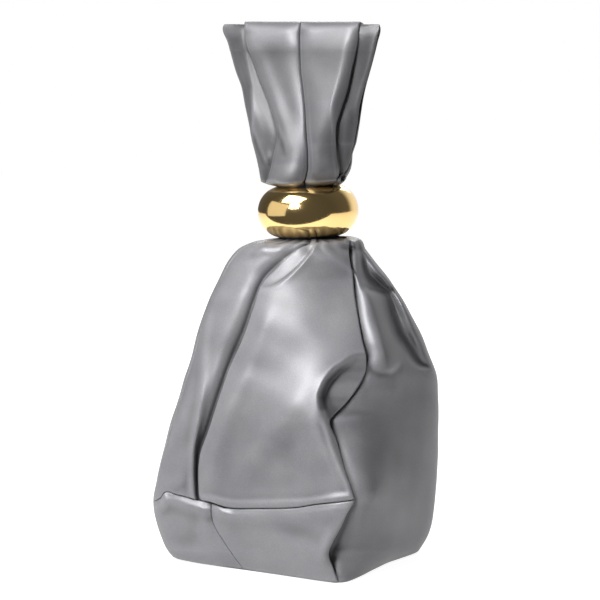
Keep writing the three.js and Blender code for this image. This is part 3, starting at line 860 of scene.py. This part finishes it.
def ramp_of(tree, source, stops):
    ramp = add_node(tree, "ValToRGB", Fac=source)
    while len(ramp.color_ramp.elements) < len(stops):
        ramp.color_ramp.elements.new(0.5)
    for element, (place, colour) in zip(ramp.color_ramp.elements, stops):
        element.position = place
        element.color = (*colour, 1)
    return ramp.outputs["Color"]


def toned(colour, factor):
    return tuple(min(1.0, channel * factor) for channel in colour)


def new_finish(name):
    finish = bpy.data.materials.new(name)
    finish.use_nodes = True
    tree = finish.node_tree
    tree.nodes.clear()
    return finish, tree, add_node(tree, "TexCoord").outputs["Object"]


def coat(tree, **values):
    shader = add_node(tree, "BsdfPrincipled", **values)
    add_node(tree, "OutputMaterial", Surface=shader.outputs["BSDF"])


def leather_finish(look):
    """Soft metallic nappa: fine pores and a cloudy sheen, with painted shade in the folds and tucks and
    painted highlights on the crests.
    """
    finish, tree, place = new_finish("pewter_nappa")
    colour, rough = tuple(look.leather_colour), look.leather_roughness
    clouds = add_node(tree, "TexNoise", Vector=place, Scale=38.0, Detail=3.0, Roughness=0.55).outputs["Fac"]
    grain = add_node(tree, "TexVoronoi", feature="SMOOTH_F1", Vector=place, Scale=1500.0).outputs["Distance"]
    pores = add_node(tree, "TexNoise", Vector=place, Scale=1400.0, Detail=4.0, Roughness=0.7).outputs["Fac"]
    # painted shade and painted highlight: the colour is made darker in creases and tucks and lighter on
    # crests
    fold = add_node(tree, "Attribute", attribute_name="painted_fold_light_and_shade").outputs["Fac"]
    folded = ramp_of(tree, fold, [(0.25, toned(colour, 1.12)), (0.5, colour), (1.0, toned(colour, 0.4))])
    cloudy = ramp_of(tree, clouds, [(0.3, (0.9, 0.9, 0.92)), (0.7, (1.06, 1.06, 1.05))])
    speck = ramp_of(tree, pores, [(0.3, (0.84, 0.84, 0.84)), (0.7, (1.08, 1.08, 1.08))])
    gloss = add_node(tree, "MapRange", Value=clouds, From_Min=0.3, From_Max=0.7, To_Min=rough - 0.04,
                     To_Max=rough + 0.05)
    fine = add_node(tree, "Bump", Strength=0.2, Distance=0.0002, Height=pores)
    both = add_node(tree, "Bump", Strength=0.12, Distance=0.0003, Height=grain, Normal=fine.outputs["Normal"])
    coat(tree, Base_Color=multiplied(tree, multiplied(tree, folded, cloudy), speck),
         Roughness=gloss.outputs["Result"], Normal=both.outputs["Normal"], Metallic=look.leather_metallic)
    return finish


def gold_finish(look):
    """Polished plate with the faintest swirl left by the buffing wheel."""
    finish, tree, place = new_finish("polished_gold")
    colour = tuple(look.ring_colour)
    swirl = add_node(tree, "TexNoise", Vector=place, Scale=55.0, Detail=2.0).outputs["Fac"]
    hair = add_node(tree, "TexNoise", Vector=place, Scale=900.0, Detail=1.0).outputs["Fac"]
    gloss = add_node(tree, "MapRange", Value=hair, To_Min=0.09, To_Max=0.15)
    bump = add_node(tree, "Bump", Strength=0.015, Distance=0.0005, Height=swirl)
    coat(tree, Base_Color=ramp_of(tree, swirl, [(0.35, colour), (0.65, toned(colour, 1.04))]),
         Roughness=gloss.outputs["Result"], Normal=bump.outputs["Normal"], Metallic=1.0)
    return finish


def cloth_finish(look):
    """A close plain weave."""
    finish, tree, place = new_finish("lining_weave")
    colour = tuple(look.lining_colour)
    threads = {"Vector": place, "Scale": 420.0, "Distortion": 0.6}
    warp = add_node(tree, "TexWave", **threads).outputs["Fac"]
    weft = add_node(tree, "TexWave", bands_direction="Z", **threads).outputs["Fac"]
    both = joined(tree, "Math", warp, weft, operation="ADD").outputs["Value"]
    bump = add_node(tree, "Bump", Strength=0.3, Distance=0.0002, Height=both)
    coat(tree, Base_Color=ramp_of(tree, both, [(0.2, toned(colour, 0.7)), (0.9, colour)]), Roughness=0.85,
         Normal=bump.outputs["Normal"])
    return finish


def board_finish(look):
    """Pressed fibre board with pale flecks."""
    finish, tree, place = new_finish("pressed_board")
    colour = tuple(look.board_colour)
    flecks = add_node(tree, "TexNoise", Vector=place, Scale=420.0, Detail=6.0, Roughness=0.7).outputs["Fac"]
    bump = add_node(tree, "Bump", Strength=0.2, Distance=0.0003, Height=flecks)
    coat(tree, Base_Color=ramp_of(tree, flecks, [(0.3, toned(colour, 0.72)), (0.7, colour)]), Roughness=0.92,
         Normal=bump.outputs["Normal"])
    return finish


FINISHES = {
    "leather": leather_finish, "ring_metal": gold_finish, "lining": cloth_finish, "board": board_finish,
}
made_finishes = {}


def dress(piece, finish):
    """Gives a piece its finish, which is made once, from the panel's colours."""
    if finish not in made_finishes:
        made_finishes[finish] = FINISHES[finish](bpy.context.scene.knot_bag)
    piece.data.materials.clear()
    piece.data.materials.append(made_finishes[finish])


def settle(piece, slot, node):
    """Gives a finished piece its look, by the finish of its slot, and hides the part of its node."""
    dress(piece, slot)
    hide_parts(node)


# The ring

RIM_LIP = 1.3  # how far the dome's rims stand out from the bore
DOME_WALL = 1.2
TUBE_LAP, TUBE_INSET = 0.3, 0.2  # how far the tube stops short of the dome's rims
BORE_ROUNDING = 0.6
RING_SPIN_STEPS = 144


def revolve_profile(name, points):
    """Spins a closed outline of (radius, height) in millimetres round the ring's own axis."""
    select_only()
    bpy.ops.mesh.primitive_circle_add(vertices=len(points), radius=1.0, fill_type="NOTHING")
    piece = bpy.context.object
    piece.name = name
    for vertex, (radius, height) in zip(piece.data.vertices, points):
        vertex.co = (radius * MM, 0.0, height * MM)
    bpy.ops.object.mode_set(mode="EDIT")
    bpy.ops.mesh.select_all(action="SELECT")
    bpy.ops.mesh.spin(steps=RING_SPIN_STEPS, angle=2 * math.pi, center=(0, 0, 0), axis=(0, 0, 1))
    bpy.ops.mesh.select_all(action="SELECT")
    bpy.ops.mesh.remove_doubles(threshold=2e-6)
    bpy.ops.mesh.normals_make_consistent(inside=False)
    bpy.ops.object.mode_set(mode="OBJECT")
    bpy.ops.object.shade_smooth()
    bpy.ops.transform.translate(value=(NECK_LEAN * MM, NECK_SET_BACK * MM, RING_MIDDLE * MM))
    piece.rotation_euler = (0, -RING_SLOPE, 0)
    bpy.ops.object.transform_apply(location=True, rotation=True, scale=True)
    return piece


def ring_outlines(look):
    """Outlines of the domed band and of the plain tube inside it."""
    bore, depth = look.bore_diameter / MM / 2, look.dome_depth / MM
    middle = look.ring_diameter / MM / 2 - depth
    half = RING_HEIGHT / 2
    rim = bore + RIM_LIP
    stop = math.acos((rim - middle) / depth)
    turns = np.linspace(-stop, stop, 72)
    dome = [(middle + depth * math.cos(a), half * math.sin(a)) for a in turns]
    inner_depth, inner_half = depth - DOME_WALL, half - DOME_WALL
    dome += [(max(middle + inner_depth * math.cos(a), rim), inner_half * math.sin(a)) for a in turns[::-1]]
    top = half * math.sin(stop)
    soft = BORE_ROUNDING
    bend = np.radians(np.linspace(0, 90, 6))
    tube = [(rim - TUBE_LAP, -top + TUBE_INSET), (rim - TUBE_LAP, top - TUBE_INSET)]
    tube += [(bore + soft - soft * math.sin(a), top - soft + soft * math.cos(a)) for a in bend]
    tube += [(bore + soft - soft * math.cos(a), -top + soft - soft * math.sin(a)) for a in bend]
    return dome, tube


# The loop: each pleat rises through the ring, folds over on top and comes down behind

LOOP_FOOT_LOW = RING_HEIGHT / 2 + 0.3
LOOP_FOOT_HIGH = LOOP_FOOT_LOW + 5
LOOP_FOLD_START = 103.0
LOOP_TOP = RING_HEIGHT / 2 + 105
LOOP_NECK = 18.1
LOOP_HALF_WIDTH = 54.5
LOOP_FOOT_HALF_WIDTH = 26.0
OUTER_FOLD_DEPTH, OUTER_FOOT_DEPTH, OUTER_TOP = 8.0, 18.6, 119.6
CENTRE_FOLD_DEPTH, CENTRE_FOOT_DEPTH, CENTRE_TOP = 11.5, 21.4, 121.4
LOOP_PAINTED_SHADE = 0.34  # painted shade that makes the loop's leather a little darker than the bag's

# Edges of the loop and of its pleats in the picture
LOOP_LEFT = [
    (228, 20), (225, 23.6), (223, 26), (222.5, 30), (226.5, 42), (230.5, 56), (235, 72), (240.5, 88),
    (243.4, 104), (246.6, 120), (250, 136), (254.2, 152), (258.3, 168), (262, 184), (269, 200), (280, 226),
]
LOOP_RIGHT = [
    (376, 20), (378.6, 23.8), (380.2, 26), (380.6, 30), (378.6, 41), (375.2, 56), (371.2, 72), (366.8, 88),
    (363.4, 104), (361, 120), (357.4, 136), (353.6, 152), (349, 168), (341, 184), (337, 200), (334, 226),
]
CENTRE_LEFT_EDGE = [
    (244.3, 18), (244, 36), (246, 46), (251, 58), (258.8, 79.5), (265.5, 97), (271.5, 114), (275.2, 125),
    (276.2, 134), (275.4, 142), (273.8, 149), (271.5, 159.4), (269.7, 169), (267.9, 176), (266, 185),
    (272, 203), (284, 226),
]
CENTRE_PARTING = [
    (300.4, 18), (299.2, 39), (299.8, 62), (302.5, 87.7), (304.4, 107), (305.6, 131.4), (307.5, 155),
    (307.6, 168), (306, 177), (304.6, 184), (304, 200), (305, 226),
]
CENTRE_RIGHT_EDGE = [
    (359.4, 18), (359.2, 38), (356.4, 53), (353, 68), (347.5, 92), (341, 112), (336.8, 127.3), (336.4, 139),
    (337.6, 155.6), (339.4, 171.4), (339.6, 180), (336, 190), (331, 205), (327, 226),
]

# Forms of the pleats

OUTER_LEFT_FORMS = [
    # Crease against the centre pleat
    Line([
        (244, 20, -0.4, 2.5), (244, 34, -0.7, 3), (246, 46, -1.2, 4), (251, 58, -1.7, 5),
        (258.8, 79.5, -2.1, 6), (265.5, 97, -2.3, 7), (272, 116, -2.5, 8), (276.2, 134, -2.5, 8),
        (273.8, 149, -2.2, 7), (271.5, 159.4, -1.6, 4), (269.7, 169, -1.5, 3), (266, 186, -2, 3),
        (284, 226, -2, 3),
    ], crisp=True, endless="right"),
    # Low ridge, and a drop beside it
    Line([
        (239, 36, 0, 5, 6), (240, 50, 0.3, 5, 6), (244, 72, 0.4, 5, 6), (250, 100, 0.5, 5, 6),
        (255.5, 124, 0.5, 5, 6), (261, 144, 0.5, 5), (267, 158, 0.4, 4), (270, 168, 0, 3),
    ]),
    Step([
        (249, 112, 0, 12), (250.5, 123, -0.6, 12), (257.8, 145, -1, 12), (263.8, 159.4, -1, 12),
        (269, 170, -0.6, 12), (270, 180, 0, 12),
    ], side=-1, edge=2),
]
CENTRE_LEFT_FORMS = [
    # Creases against both neighbours
    Line([(x, y, -1.2, 4) for x, y in CENTRE_LEFT_EDGE], crisp=True, endless="left"),
    Line([(x, y, -1.7, 5) for x, y in CENTRE_PARTING], crisp=True, endless="right"),
    # Ridge that slants to the foot
    Line([
        (252, 40, 0, 7), (254, 52, 0.3, 7, 9), (259, 70, 0.4, 7, 9), (266, 90, 0.5, 7, 9),
        (273, 108, 0.6, 7, 8), (279, 124, 0.7, 7, 9), (284, 140, 0.7, 7, 9), (287, 156, 0.4, 7, 10),
        (288, 168, 0, 7, 10),
    ]),
    # Hollow beside it
    Line([
        (269, 38, 0, 9, 12), (273, 55, -0.4, 9, 12), (280, 78, -0.6, 9, 11), (288, 100, -0.7, 9, 10),
        (295, 122, -0.6, 9), (299, 145, -0.3, 9), (300, 160, 0, 9),
    ]),
    # Short drop across the ridge
    Step([
        (276, 124, 0, 14), (280, 134, -0.7, 14), (283.5, 144, -0.9, 14), (285, 152, -0.5, 14),
        (286, 160, 0, 14),
    ], side=-1, edge=2.4),
    # Bulge over the ring
    Mound(284, 177, 3, 18, 16),
]
CENTRE_RIGHT_FORMS = [
    # Creases against both neighbours
    Line([(x, y, -1.7, 5) for x, y in CENTRE_PARTING], crisp=True, endless="left"),
    Line([(x, y, -1.4, 4) for x, y in CENTRE_RIGHT_EDGE], crisp=True, endless="right"),
    # Swell, and a hollow beside it
    Mound(320, 128, 0.6, 12, 34),
    Line([(334, 84, 0, 6), (331, 112, -0.3, 6), (330, 140, -0.3, 6), (331, 160, 0, 6)]),
    # Ridge that slants to the foot
    Line([
        (313, 140, 0, 4, 6), (314, 150, 0.3, 4, 6), (316, 161.8, 0.5, 4, 6), (317.2, 171.3, 0.6, 4, 6),
        (318, 180, 0, 4, 6),
    ]),
    # Bulge over the ring
    Mound(329, 168, 1.2, 10, 12),
]
OUTER_RIGHT_FORMS = [
    # Crease against the centre pleat
    Line([
        (359.4, 20, -0.4, 2.5), (359.2, 38, -0.7, 3), (356.4, 53, -1.4, 4), (353, 68, -1.8, 4),
        (347.5, 92, -2.2, 5), (341, 112, -2.4, 5), (336.8, 129, -2.5, 5), (336.6, 141, -2.5, 5),
        (338, 155.6, -2.4, 4), (339.4, 171.4, -2.4, 3), (336, 190, -2.4, 3),
    ], crisp=True, endless="left"),
    # Low ridges
    Line([
        (364, 52, 0, 5), (360, 84, 0.3, 5), (356.5, 104, 0.4, 5, 4), (354, 115.4, 0.5, 5, 4),
        (351.6, 139, 0.4, 5, 4), (349, 156, 0, 4),
    ]),
    Line([
        (349.5, 106, 0, 4), (348, 118, 0.3, 4), (345, 135, 0.4, 4), (344, 150, 0.3, 4), (343.5, 168, 0, 4),
    ]),
]


def leaned(points):
    """The loop's middle line leans with the ring, and its pleats come level towards the top."""
    x, y, z = points[..., 0], points[..., 1], points[..., 2]
    tilt = RING_SLOPE * (1 - eased(LOOP_FOOT_HIGH, LOOP_TOP, z))
    return np.stack(
        [
            NECK_LEAN + x * np.cos(tilt) - z * math.sin(RING_SLOPE),
            NECK_SET_BACK + y,
            RING_MIDDLE + x * np.sin(tilt) + z * math.cos(RING_SLOPE),
        ],
        -1,
    )


def above_ring(height):
    return eased(LOOP_FOOT_LOW - 1.5, LOOP_FOOT_LOW + 3.5, height)


def leaf_local(across, height, fold_depth, foot_depth, top):
    """The front leaf of the loop in the ring's own directions: across is -1 to 1 between its edges."""
    over = above_ring(height)
    up = np.clip((height - LOOP_FOOT_HIGH) / (LOOP_FOLD_START - LOOP_FOOT_HIGH), 0, 1)
    flat = eased(0, 0.6, up)
    spread = LOOP_FOOT_HALF_WIDTH + (foot_depth - OUTER_FOOT_DEPTH) * 0.4
    foot_wide = LOOP_NECK + (spread - LOOP_NECK) * over
    foot_deep = LOOP_NECK + (foot_depth - LOOP_NECK) * over
    wide = foot_wide + (LOOP_HALF_WIDTH - foot_wide) * up
    deep = foot_deep + (fold_depth - foot_deep) * eased(0.08, 1.0, up)
    rolled = np.clip((height - LOOP_FOLD_START) / (top - LOOP_FOLD_START), 0, 1)
    deep = deep * np.sqrt(1 - rolled * rolled)
    pinched = 1 - (1 - 0.25 * flat) * eased(0.68, 1.0, np.abs(across))
    angle = np.clip(across, -1, 1) * math.pi / 2
    x = wide * np.sin(angle) * (1 - flat) + wide * across * flat
    y = -(deep * np.cos(angle) * (1 - flat) + deep * pinched * flat)
    return np.stack([x, y, height + 0 * across], -1)


def mirrored(points):
    """The back leaf's twin of a point of the front leaf."""
    return points * np.array([1, -1, 1]) + np.array([0, 2 * NECK_SET_BACK, 0])


def loop_fit():
    """By height, how far the loop is widened and moved to have its real edges in the picture."""
    each = np.arange(60)
    heights = np.linspace(LOOP_FOOT_LOW, OUTER_TOP, len(each))
    shares, rows = np.meshgrid(np.linspace(-1, 1, 161), heights)
    left, right = np.array(LOOP_LEFT), np.array(LOOP_RIGHT)
    widen, shift = np.ones(len(each)), np.zeros(len(each))
    for _ in range(8):
        local = leaf_local(shares, rows, OUTER_FOLD_DEPTH, OUTER_FOOT_DEPTH, OUTER_TOP)
        local[..., 0] = local[..., 0] * widen[:, None] + shift[:, None]
        front = leaned(local)
        across, down, _ = pixels_of(np.concatenate([front, mirrored(front)], axis=1))
        low, high = across.argmin(axis=1), across.argmax(axis=1)
        want_low = follow(left[:, 1], left[:, 0], down[each, low])
        want_high = follow(right[:, 1], right[:, 0], down[each, high])
        have_low, have_high = across[each, low], across[each, high]
        widen = widen * (want_high - want_low) / (have_high - have_low)
        shift = shift + (want_low + want_high - have_low - have_high) / 2 * 0.74
    return heights, widen, shift


def make_pleat(name, fit, sizes, span, left, right, forms, seed, thickness):
    """A pleat of the loop: its front leaf raised by its forms, and the back leaf as its smooth twin."""
    top = sizes[-1]
    step = spacing() * 0.85
    fold_rows = (top - LOOP_FOLD_START) * np.sin(np.linspace(0, math.pi / 2, int(24 / step)))[1:]
    rows = np.concatenate([
        np.linspace(0.3, LOOP_FOOT_LOW - 2, 9), np.linspace(LOOP_FOOT_LOW - 1.4, 30, int(15 / step) + 8),
        np.linspace(30 + step, LOOP_FOLD_START, int(73 / step)), LOOP_FOLD_START + fold_rows,
    ])

    def surface(across, height):
        over = above_ring(height)
        local = leaf_local(across, height, *sizes)
        widen = 1 + (np.interp(height, fit[0], fit[1]) - 1) * over
        local[..., 0] = local[..., 0] * widen + np.interp(height, fit[0], fit[2]) * over
        return leaned(local)

    turns, drops = lay_columns(surface, span, rows, FRONT, left, right, step, steady=5)
    points = surface(turns, np.broadcast_to(rows[:, None], turns.shape))
    normals = steady_normals(points, turns)
    across, down, way = seen(points, FRONT)
    facing = np.sum(normals * way, axis=-1)
    calm = eased(top, top - 8, rows)[:, None]
    wander = eased(14, 24, rows)[:, None] * calm
    height = sum(form.swell(across, down) for form in forms) * eased(210, 190, down)
    height = height * eased(-0.05, 0.3, facing) * calm
    front = points + way * (height / np.maximum(facing, 0.6))[..., None]
    front = front + normals * (ripple(points, seed, 0.8) * wander)[..., None]
    front[..., 2] -= 0.6 * np.maximum(height - 2, 0) * eased(30, 21, rows)[:, None]
    back = mirrored(front[-2::-1])
    back[..., 1] += ripple(back, seed + 7) * wander[-2::-1]
    whole = np.concatenate([front, back])
    outward = np.concatenate([normals, normals[-2::-1] * np.array([1, -1, 1])])
    share = 0.35 + 0.65 * eased(10, 17, rows)[:, None] + 0 * turns
    outermost = eased(25, 55, rows) * eased(top - 1, top - 12, rows)
    share = np.where(np.abs(turns) > 0.85, outermost[:, None], share)
    whole = whole + outward * (drops * np.concatenate([share, share[-2::-1]]))[..., None]
    # painted shade in the creases and under the neighbouring pleat, painted highlights on the crests, and the
    # loop's overall painted shade, carried into the leather's colour
    shade = painted_fold_shading(whole, outward) + tucked_shade(whole, left, right, reach=6.5) + LOOP_PAINTED_SHADE
    piece = leather_grid(name, whole, thickness, shade)
    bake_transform(piece)
    return piece


# What a user can change


def length(name, text, default, low, high):
    return FloatProperty(name=name, description=text, default=default, min=low, max=high, unit="LENGTH")


def factor(name, text, default):
    return FloatProperty(name=name, description=text, default=default, min=0, max=1, subtype="FACTOR")


def tint(name, text, default):
    return FloatVectorProperty(
        name=name, description=text, default=default, size=3, min=0, max=1, subtype="COLOR"
    )


class KnotBagSettings(bpy.types.PropertyGroup):
    leather_thickness: length("Leather", "Thickness of the leather", 0.0013, 0.0005, 0.003)
    fold_overlap: length("Fold overlap", "How far a fold covers the leather beside it", 0.007, 0.002, 0.012)
    ring_diameter: length("Ring", "Outside diameter of the ring", 0.0652, 0.05, 0.07)
    bore_diameter: length("Ring bore", "Diameter of the hole round the leather", 0.0386, 0.038, 0.045)
    dome_depth: length("Ring dome", "Radial half-axis of the ring's domed outside", 0.0156, 0.01, 0.018)
    leather_colour: tint("Leather", "Pewter of the leather", (0.195, 0.195, 0.205))
    leather_metallic: factor("Leather metal", "How metallic the leather's coating looks", 0.25)
    leather_roughness: factor("Leather roughness", "How soft the leather's highlights are", 0.44)
    ring_colour: tint("Gold", "Colour of the ring's plating", (0.88, 0.62, 0.26))
    lining_colour: tint("Lining", "Colour of the woven lining", (0.07, 0.07, 0.08))
    board_colour: tint("Board", "Colour of the base board", (0.35, 0.26, 0.16))


class KNOTBAG_OT_front(bpy.types.Operator):
    """Builds the front's folded panels and its lower band"""

    bl_idname = "knotbag.front"
    bl_label = "Front leather"

    def execute(self, context):
        make_face(FRONT, "front", context.scene.knot_bag)
        return {"FINISHED"}


class KNOTBAG_OT_back(bpy.types.Operator):
    """Builds the back's folded panels and its lower band"""

    bl_idname = "knotbag.back"
    bl_label = "Back leather"

    def execute(self, context):
        make_face(BACK, "back", context.scene.knot_bag)
        return {"FINISHED"}


class KNOTBAG_OT_sides(bpy.types.Operator):
    """Builds the two side leathers, which run from the floor to the gathers"""

    bl_idname = "knotbag.sides"
    bl_label = "Side leathers"

    def execute(self, context):
        make_side(FRONT, "right_gusset", context.scene.knot_bag)
        make_side(BACK, "left_gusset", context.scene.knot_bag)
        return {"FINISHED"}


class KNOTBAG_OT_loop(bpy.types.Operator):
    """Builds the four pleats of the carrying loop"""

    bl_idname = "knotbag.loop"
    bl_label = "Loop pleats"

    def execute(self, context):
        thickness = context.scene.knot_bag.leather_thickness / MM
        curl, soft, thin = curled_edge(1.3, 2.5), rolled_edge(1.5), rolled_edge(1.8)
        fit = loop_fit()
        left_edge, parting, right_edge = Line(CENTRE_LEFT_EDGE), Line(CENTRE_PARTING), Line(CENTRE_RIGHT_EDGE)
        outer = OUTER_FOLD_DEPTH, OUTER_FOOT_DEPTH, OUTER_TOP
        centre = CENTRE_FOLD_DEPTH, CENTRE_FOOT_DEPTH, CENTRE_TOP
        tuck = 6  # how far an outer pleat runs in under its neighbour
        for seed, (place, sizes, span, left, right, forms) in enumerate((
            ("outer_left", outer, (-1, 0.3), Border(-1.0, thin), Border(left_edge, CUT_EDGE, tuck),
             OUTER_LEFT_FORMS),
            ("centre_left", centre, (-1, 0.5), Border(left_edge, curl), Border(parting, soft),
             CENTRE_LEFT_FORMS),
            ("centre_right", centre, (-0.5, 1), Border(parting, soft), Border(right_edge, curl),
             CENTRE_RIGHT_FORMS),
            ("outer_right", outer, (-0.3, 1), Border(right_edge, CUT_EDGE, -tuck), Border(1.0, thin),
             OUTER_RIGHT_FORMS),
        ), 31):
            piece = make_pleat(place + "_pleat", fit, sizes, span, left, right, forms, seed, thickness)
            settle(piece, "leather", "loop_" + place)
        return {"FINISHED"}


class KNOTBAG_OT_ring(bpy.types.Operator):
    """Builds the domed ring and the plain tube inside it"""

    bl_idname = "knotbag.ring"
    bl_label = "Ring"

    def execute(self, context):
        dome, tube = ring_outlines(context.scene.knot_bag)
        for name, outline, node in (("ring_band", dome, "ring_dome"), ("ring_tube", tube, "ring_sleeve")):
            piece = revolve_profile(name, outline)
            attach(piece, RING_BODY)
            settle(piece, "ring_metal", node)
        return {"FINISHED"}


class KNOTBAG_OT_base(bpy.types.Operator):
    """Builds the base leather and its lining, and finishes the board between them"""

    bl_idname = "knotbag.base"
    bl_label = "Base"

    def execute(self, context):
        for name, node, slot, inset in (
            ("base_leather", "base_panel", "leather", 0.0022),
            ("base_lining_cloth", "base_lining", "lining", 0.0004),
        ):
            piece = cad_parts[node].copy()
            piece.data = piece.data.copy()
            piece.name = name
            for key in list(piece.keys()):
                del piece[key]
            piece.parent = None
            context.scene.collection.objects.link(piece)
            select_only(piece)
            bpy.ops.object.mode_set(mode="EDIT")
            bpy.ops.mesh.select_all(action="SELECT")
            bpy.ops.mesh.remove_doubles(threshold=1e-6)
            bpy.ops.transform.resize(value=(1 - inset / 0.06, 1 - inset / 0.055, 1))
            bpy.ops.object.mode_set(mode="OBJECT")
            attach(piece, BAG_BODY)
            settle(piece, slot, node)
        dress(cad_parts["base_board"], "board")
        return {"FINISHED"}


class KNOTBAG_OT_lining(bpy.types.Operator):
    """Builds the four panels of the woven lining, which hang a little slack"""

    bl_idname = "knotbag.lining"
    bl_label = "Lining"

    def execute(self, context):
        for corner, node in enumerate(("front_lining", "right_lining", "back_lining", "left_lining")):
            turns, levels = np.meshgrid(corner + np.linspace(0.02, 0.98, 70), np.linspace(0.55, 7.9, 90))
            points = wall(turns, levels)
            height = points[..., 2]
            slack = 13.0 + 0.8 * np.sin(turns * 19) * eased(60, 180, height)
            slack = 5 + (slack - 5) * eased(8, 26, height) * (1 - 0.4 * eased(150, 200, height))
            points = points - normals_of(points) * slack[..., None]
            piece = leather_grid(node + "_cloth", points, LINING_THICKNESS, np.zeros(turns.shape))
            hold_to_bag_and_ring(piece)
            settle(piece, "lining", node)
        return {"FINISHED"}


# The stage

FLOOR_SIZE = 5.0
FLOOR_IN_FRONT = 0.22  # the floor ends there, so that upright leather mirrors the dim room beyond it
FLOOR_GLOW = 0.95
FLOOR_GREY = (0.35, 0.35, 0.35, 1)
ROOM_SHADES = [  # from the room in front of the bag, through its sides, to the pale backdrop behind it
    (0.0, (0.1, 0.1, 0.105)), (0.5, (0.08, 0.08, 0.085)), (0.9, (0.12, 0.12, 0.12)), (1.0, (0.9, 0.9, 0.9)),
]
BACKDROP_SHARE = [(0.86, (0, 0, 0)), (0.97, (1, 1, 1))]
LAMPS = (  # name, place, width, height and watts
    ("key_softbox", (-0.1, -1.2, 0.84), 0.42, 0.32, 19),
    ("top_softbox", (-0.3, -0.7, 1.3), 0.9, 0.7, 22),
    ("left_softbox", (-1.1, -0.95, 0.5), 1.5, 1.2, 4.5),
    ("back_softbox", (-0.5, 1.3, 1.0), 0.8, 0.8, 9),
)
LAMP_TARGET = Vector((0, 0, 0.17))
SENSOR = 36


def seen_directly(tree, strength, in_metal=1.0):
    """A strength for rays from the camera or by way of metal or glass; in_metal scales the last two."""
    rays = add_node(tree, "LightPath").outputs
    bounced = joined(tree, "Math", rays["Is Glossy Ray"], rays["Is Transmission Ray"], operation="MAXIMUM")
    weighed = joined(tree, "Math", bounced.outputs["Value"], in_metal, operation="MULTIPLY")
    either = joined(tree, "Math", rays["Is Camera Ray"], weighed.outputs["Value"], operation="MAXIMUM")
    return joined(tree, "Math", either.outputs["Value"], strength, operation="MULTIPLY").outputs["Value"]


def lay_floor():
    """A pale floor that glows where it is seen but still takes the bag's shadow."""
    select_only()
    bpy.ops.mesh.primitive_plane_add(size=FLOOR_SIZE, location=(0, FLOOR_SIZE / 2 - FLOOR_IN_FRONT, 0))
    floor = bpy.context.object
    floor.name = "studio_floor"
    bpy.ops.object.transform_apply(location=True)
    finish, tree, _ = new_finish("pale_floor")
    matt = add_node(tree, "BsdfPrincipled", Base_Color=FLOOR_GREY, Roughness=0.8)
    glow = add_node(tree, "Emission", Strength=seen_directly(tree, FLOOR_GLOW))
    both = joined(tree, "AddShader", matt.outputs["BSDF"], glow.outputs["Emission"])
    add_node(tree, "OutputMaterial", Surface=both.outputs["Shader"])
    floor.data.materials.append(finish)


def surround():
    """A dim room in front of the bag and a white backdrop behind it."""
    world = bpy.data.worlds.new("studio")
    bpy.context.scene.world = world
    world.use_nodes = True
    sky = world.node_tree
    sky.nodes.clear()
    around = add_node(sky, "TexCoord").outputs["Generated"]
    depth = add_node(sky, "SeparateXYZ", Vector=around).outputs["Y"]
    toward_backdrop = add_node(sky, "MapRange", Value=depth, From_Min=-1).outputs["Result"]
    shades = ramp_of(sky, toward_backdrop, ROOM_SHADES)
    room, blank = (
        add_node(sky, "Background", Color=colour).outputs["Background"] for colour in (shades, (1, 1, 1, 1))
    )
    direct = seen_directly(sky, 1.0, ramp_of(sky, toward_backdrop, BACKDROP_SHARE))
    mix = joined(sky, "MixShader", room, blank, spot=1, Fac=direct)
    add_node(sky, "OutputWorld", Surface=mix.outputs["Shader"])


def hang_lamp(name, place, wide, tall, power):
    data = bpy.data.lights.new(name, "AREA")
    data.shape = "RECTANGLE"
    data.size, data.size_y = wide, tall
    data.energy = power
    lamp = bpy.data.objects.new(name, data)
    bpy.context.scene.collection.objects.link(lamp)
    lamp.location = place
    lamp.rotation_euler = (LAMP_TARGET - Vector(place)).to_track_quat("-Z", "Y").to_euler()


class KNOTBAG_OT_stage(bpy.types.Operator):
    """Sets the pale floor, the soft lamps, the surroundings and the camera"""

    bl_idname = "knotbag.stage"
    bl_label = "Stage"

    def execute(self, context):
        lay_floor()
        surround()
        for lamp in LAMPS:
            hang_lamp(*lamp)
        data = bpy.data.cameras.new("studio_camera")
        data.sensor_width = SENSOR
        data.lens = FOCAL / PICTURE * SENSOR
        data.clip_end = 20
        camera = bpy.data.objects.new("studio_camera", data)
        context.scene.collection.objects.link(camera)
        camera.location = Vector(EYE) * MM
        camera.rotation_euler = (math.pi / 2 - VIEW_PITCH, 0, VIEW_TURN)
        context.scene.camera = camera
        context.scene.view_settings.view_transform = "Standard"
        return {"FINISHED"}


STEPS = (
    KNOTBAG_OT_front, KNOTBAG_OT_back, KNOTBAG_OT_sides, KNOTBAG_OT_loop, KNOTBAG_OT_ring, KNOTBAG_OT_base,
    KNOTBAG_OT_lining, KNOTBAG_OT_stage,
)


class KNOTBAG_PT_panel(bpy.types.Panel):
    """Sizes, colours and steps of the bag"""

    bl_idname = "KNOTBAG_PT_panel"
    bl_label = "Knotted wrist bag"
    bl_space_type = "VIEW_3D"
    bl_region_type = "UI"
    bl_category = "Knot Bag"

    def draw(self, context):
        for name in KnotBagSettings.__annotations__:
            self.layout.prop(context.scene.knot_bag, name)
        for step in STEPS:
            self.layout.operator(step.bl_idname)


CLASSES = (KnotBagSettings, *STEPS, KNOTBAG_PT_panel)


def register():
    for kind in CLASSES:
        bpy.utils.register_class(kind)
    bpy.types.Scene.knot_bag = PointerProperty(type=KnotBagSettings)


def unregister():
    del bpy.types.Scene.knot_bag
    for kind in reversed(CLASSES):
        bpy.utils.unregister_class(kind)


def main():
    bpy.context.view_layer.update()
    register()
    for step in STEPS:
        group, name = step.bl_idname.split(".")
        getattr(getattr(bpy.ops, group), name)()


if __name__ == "__main__":
    main()
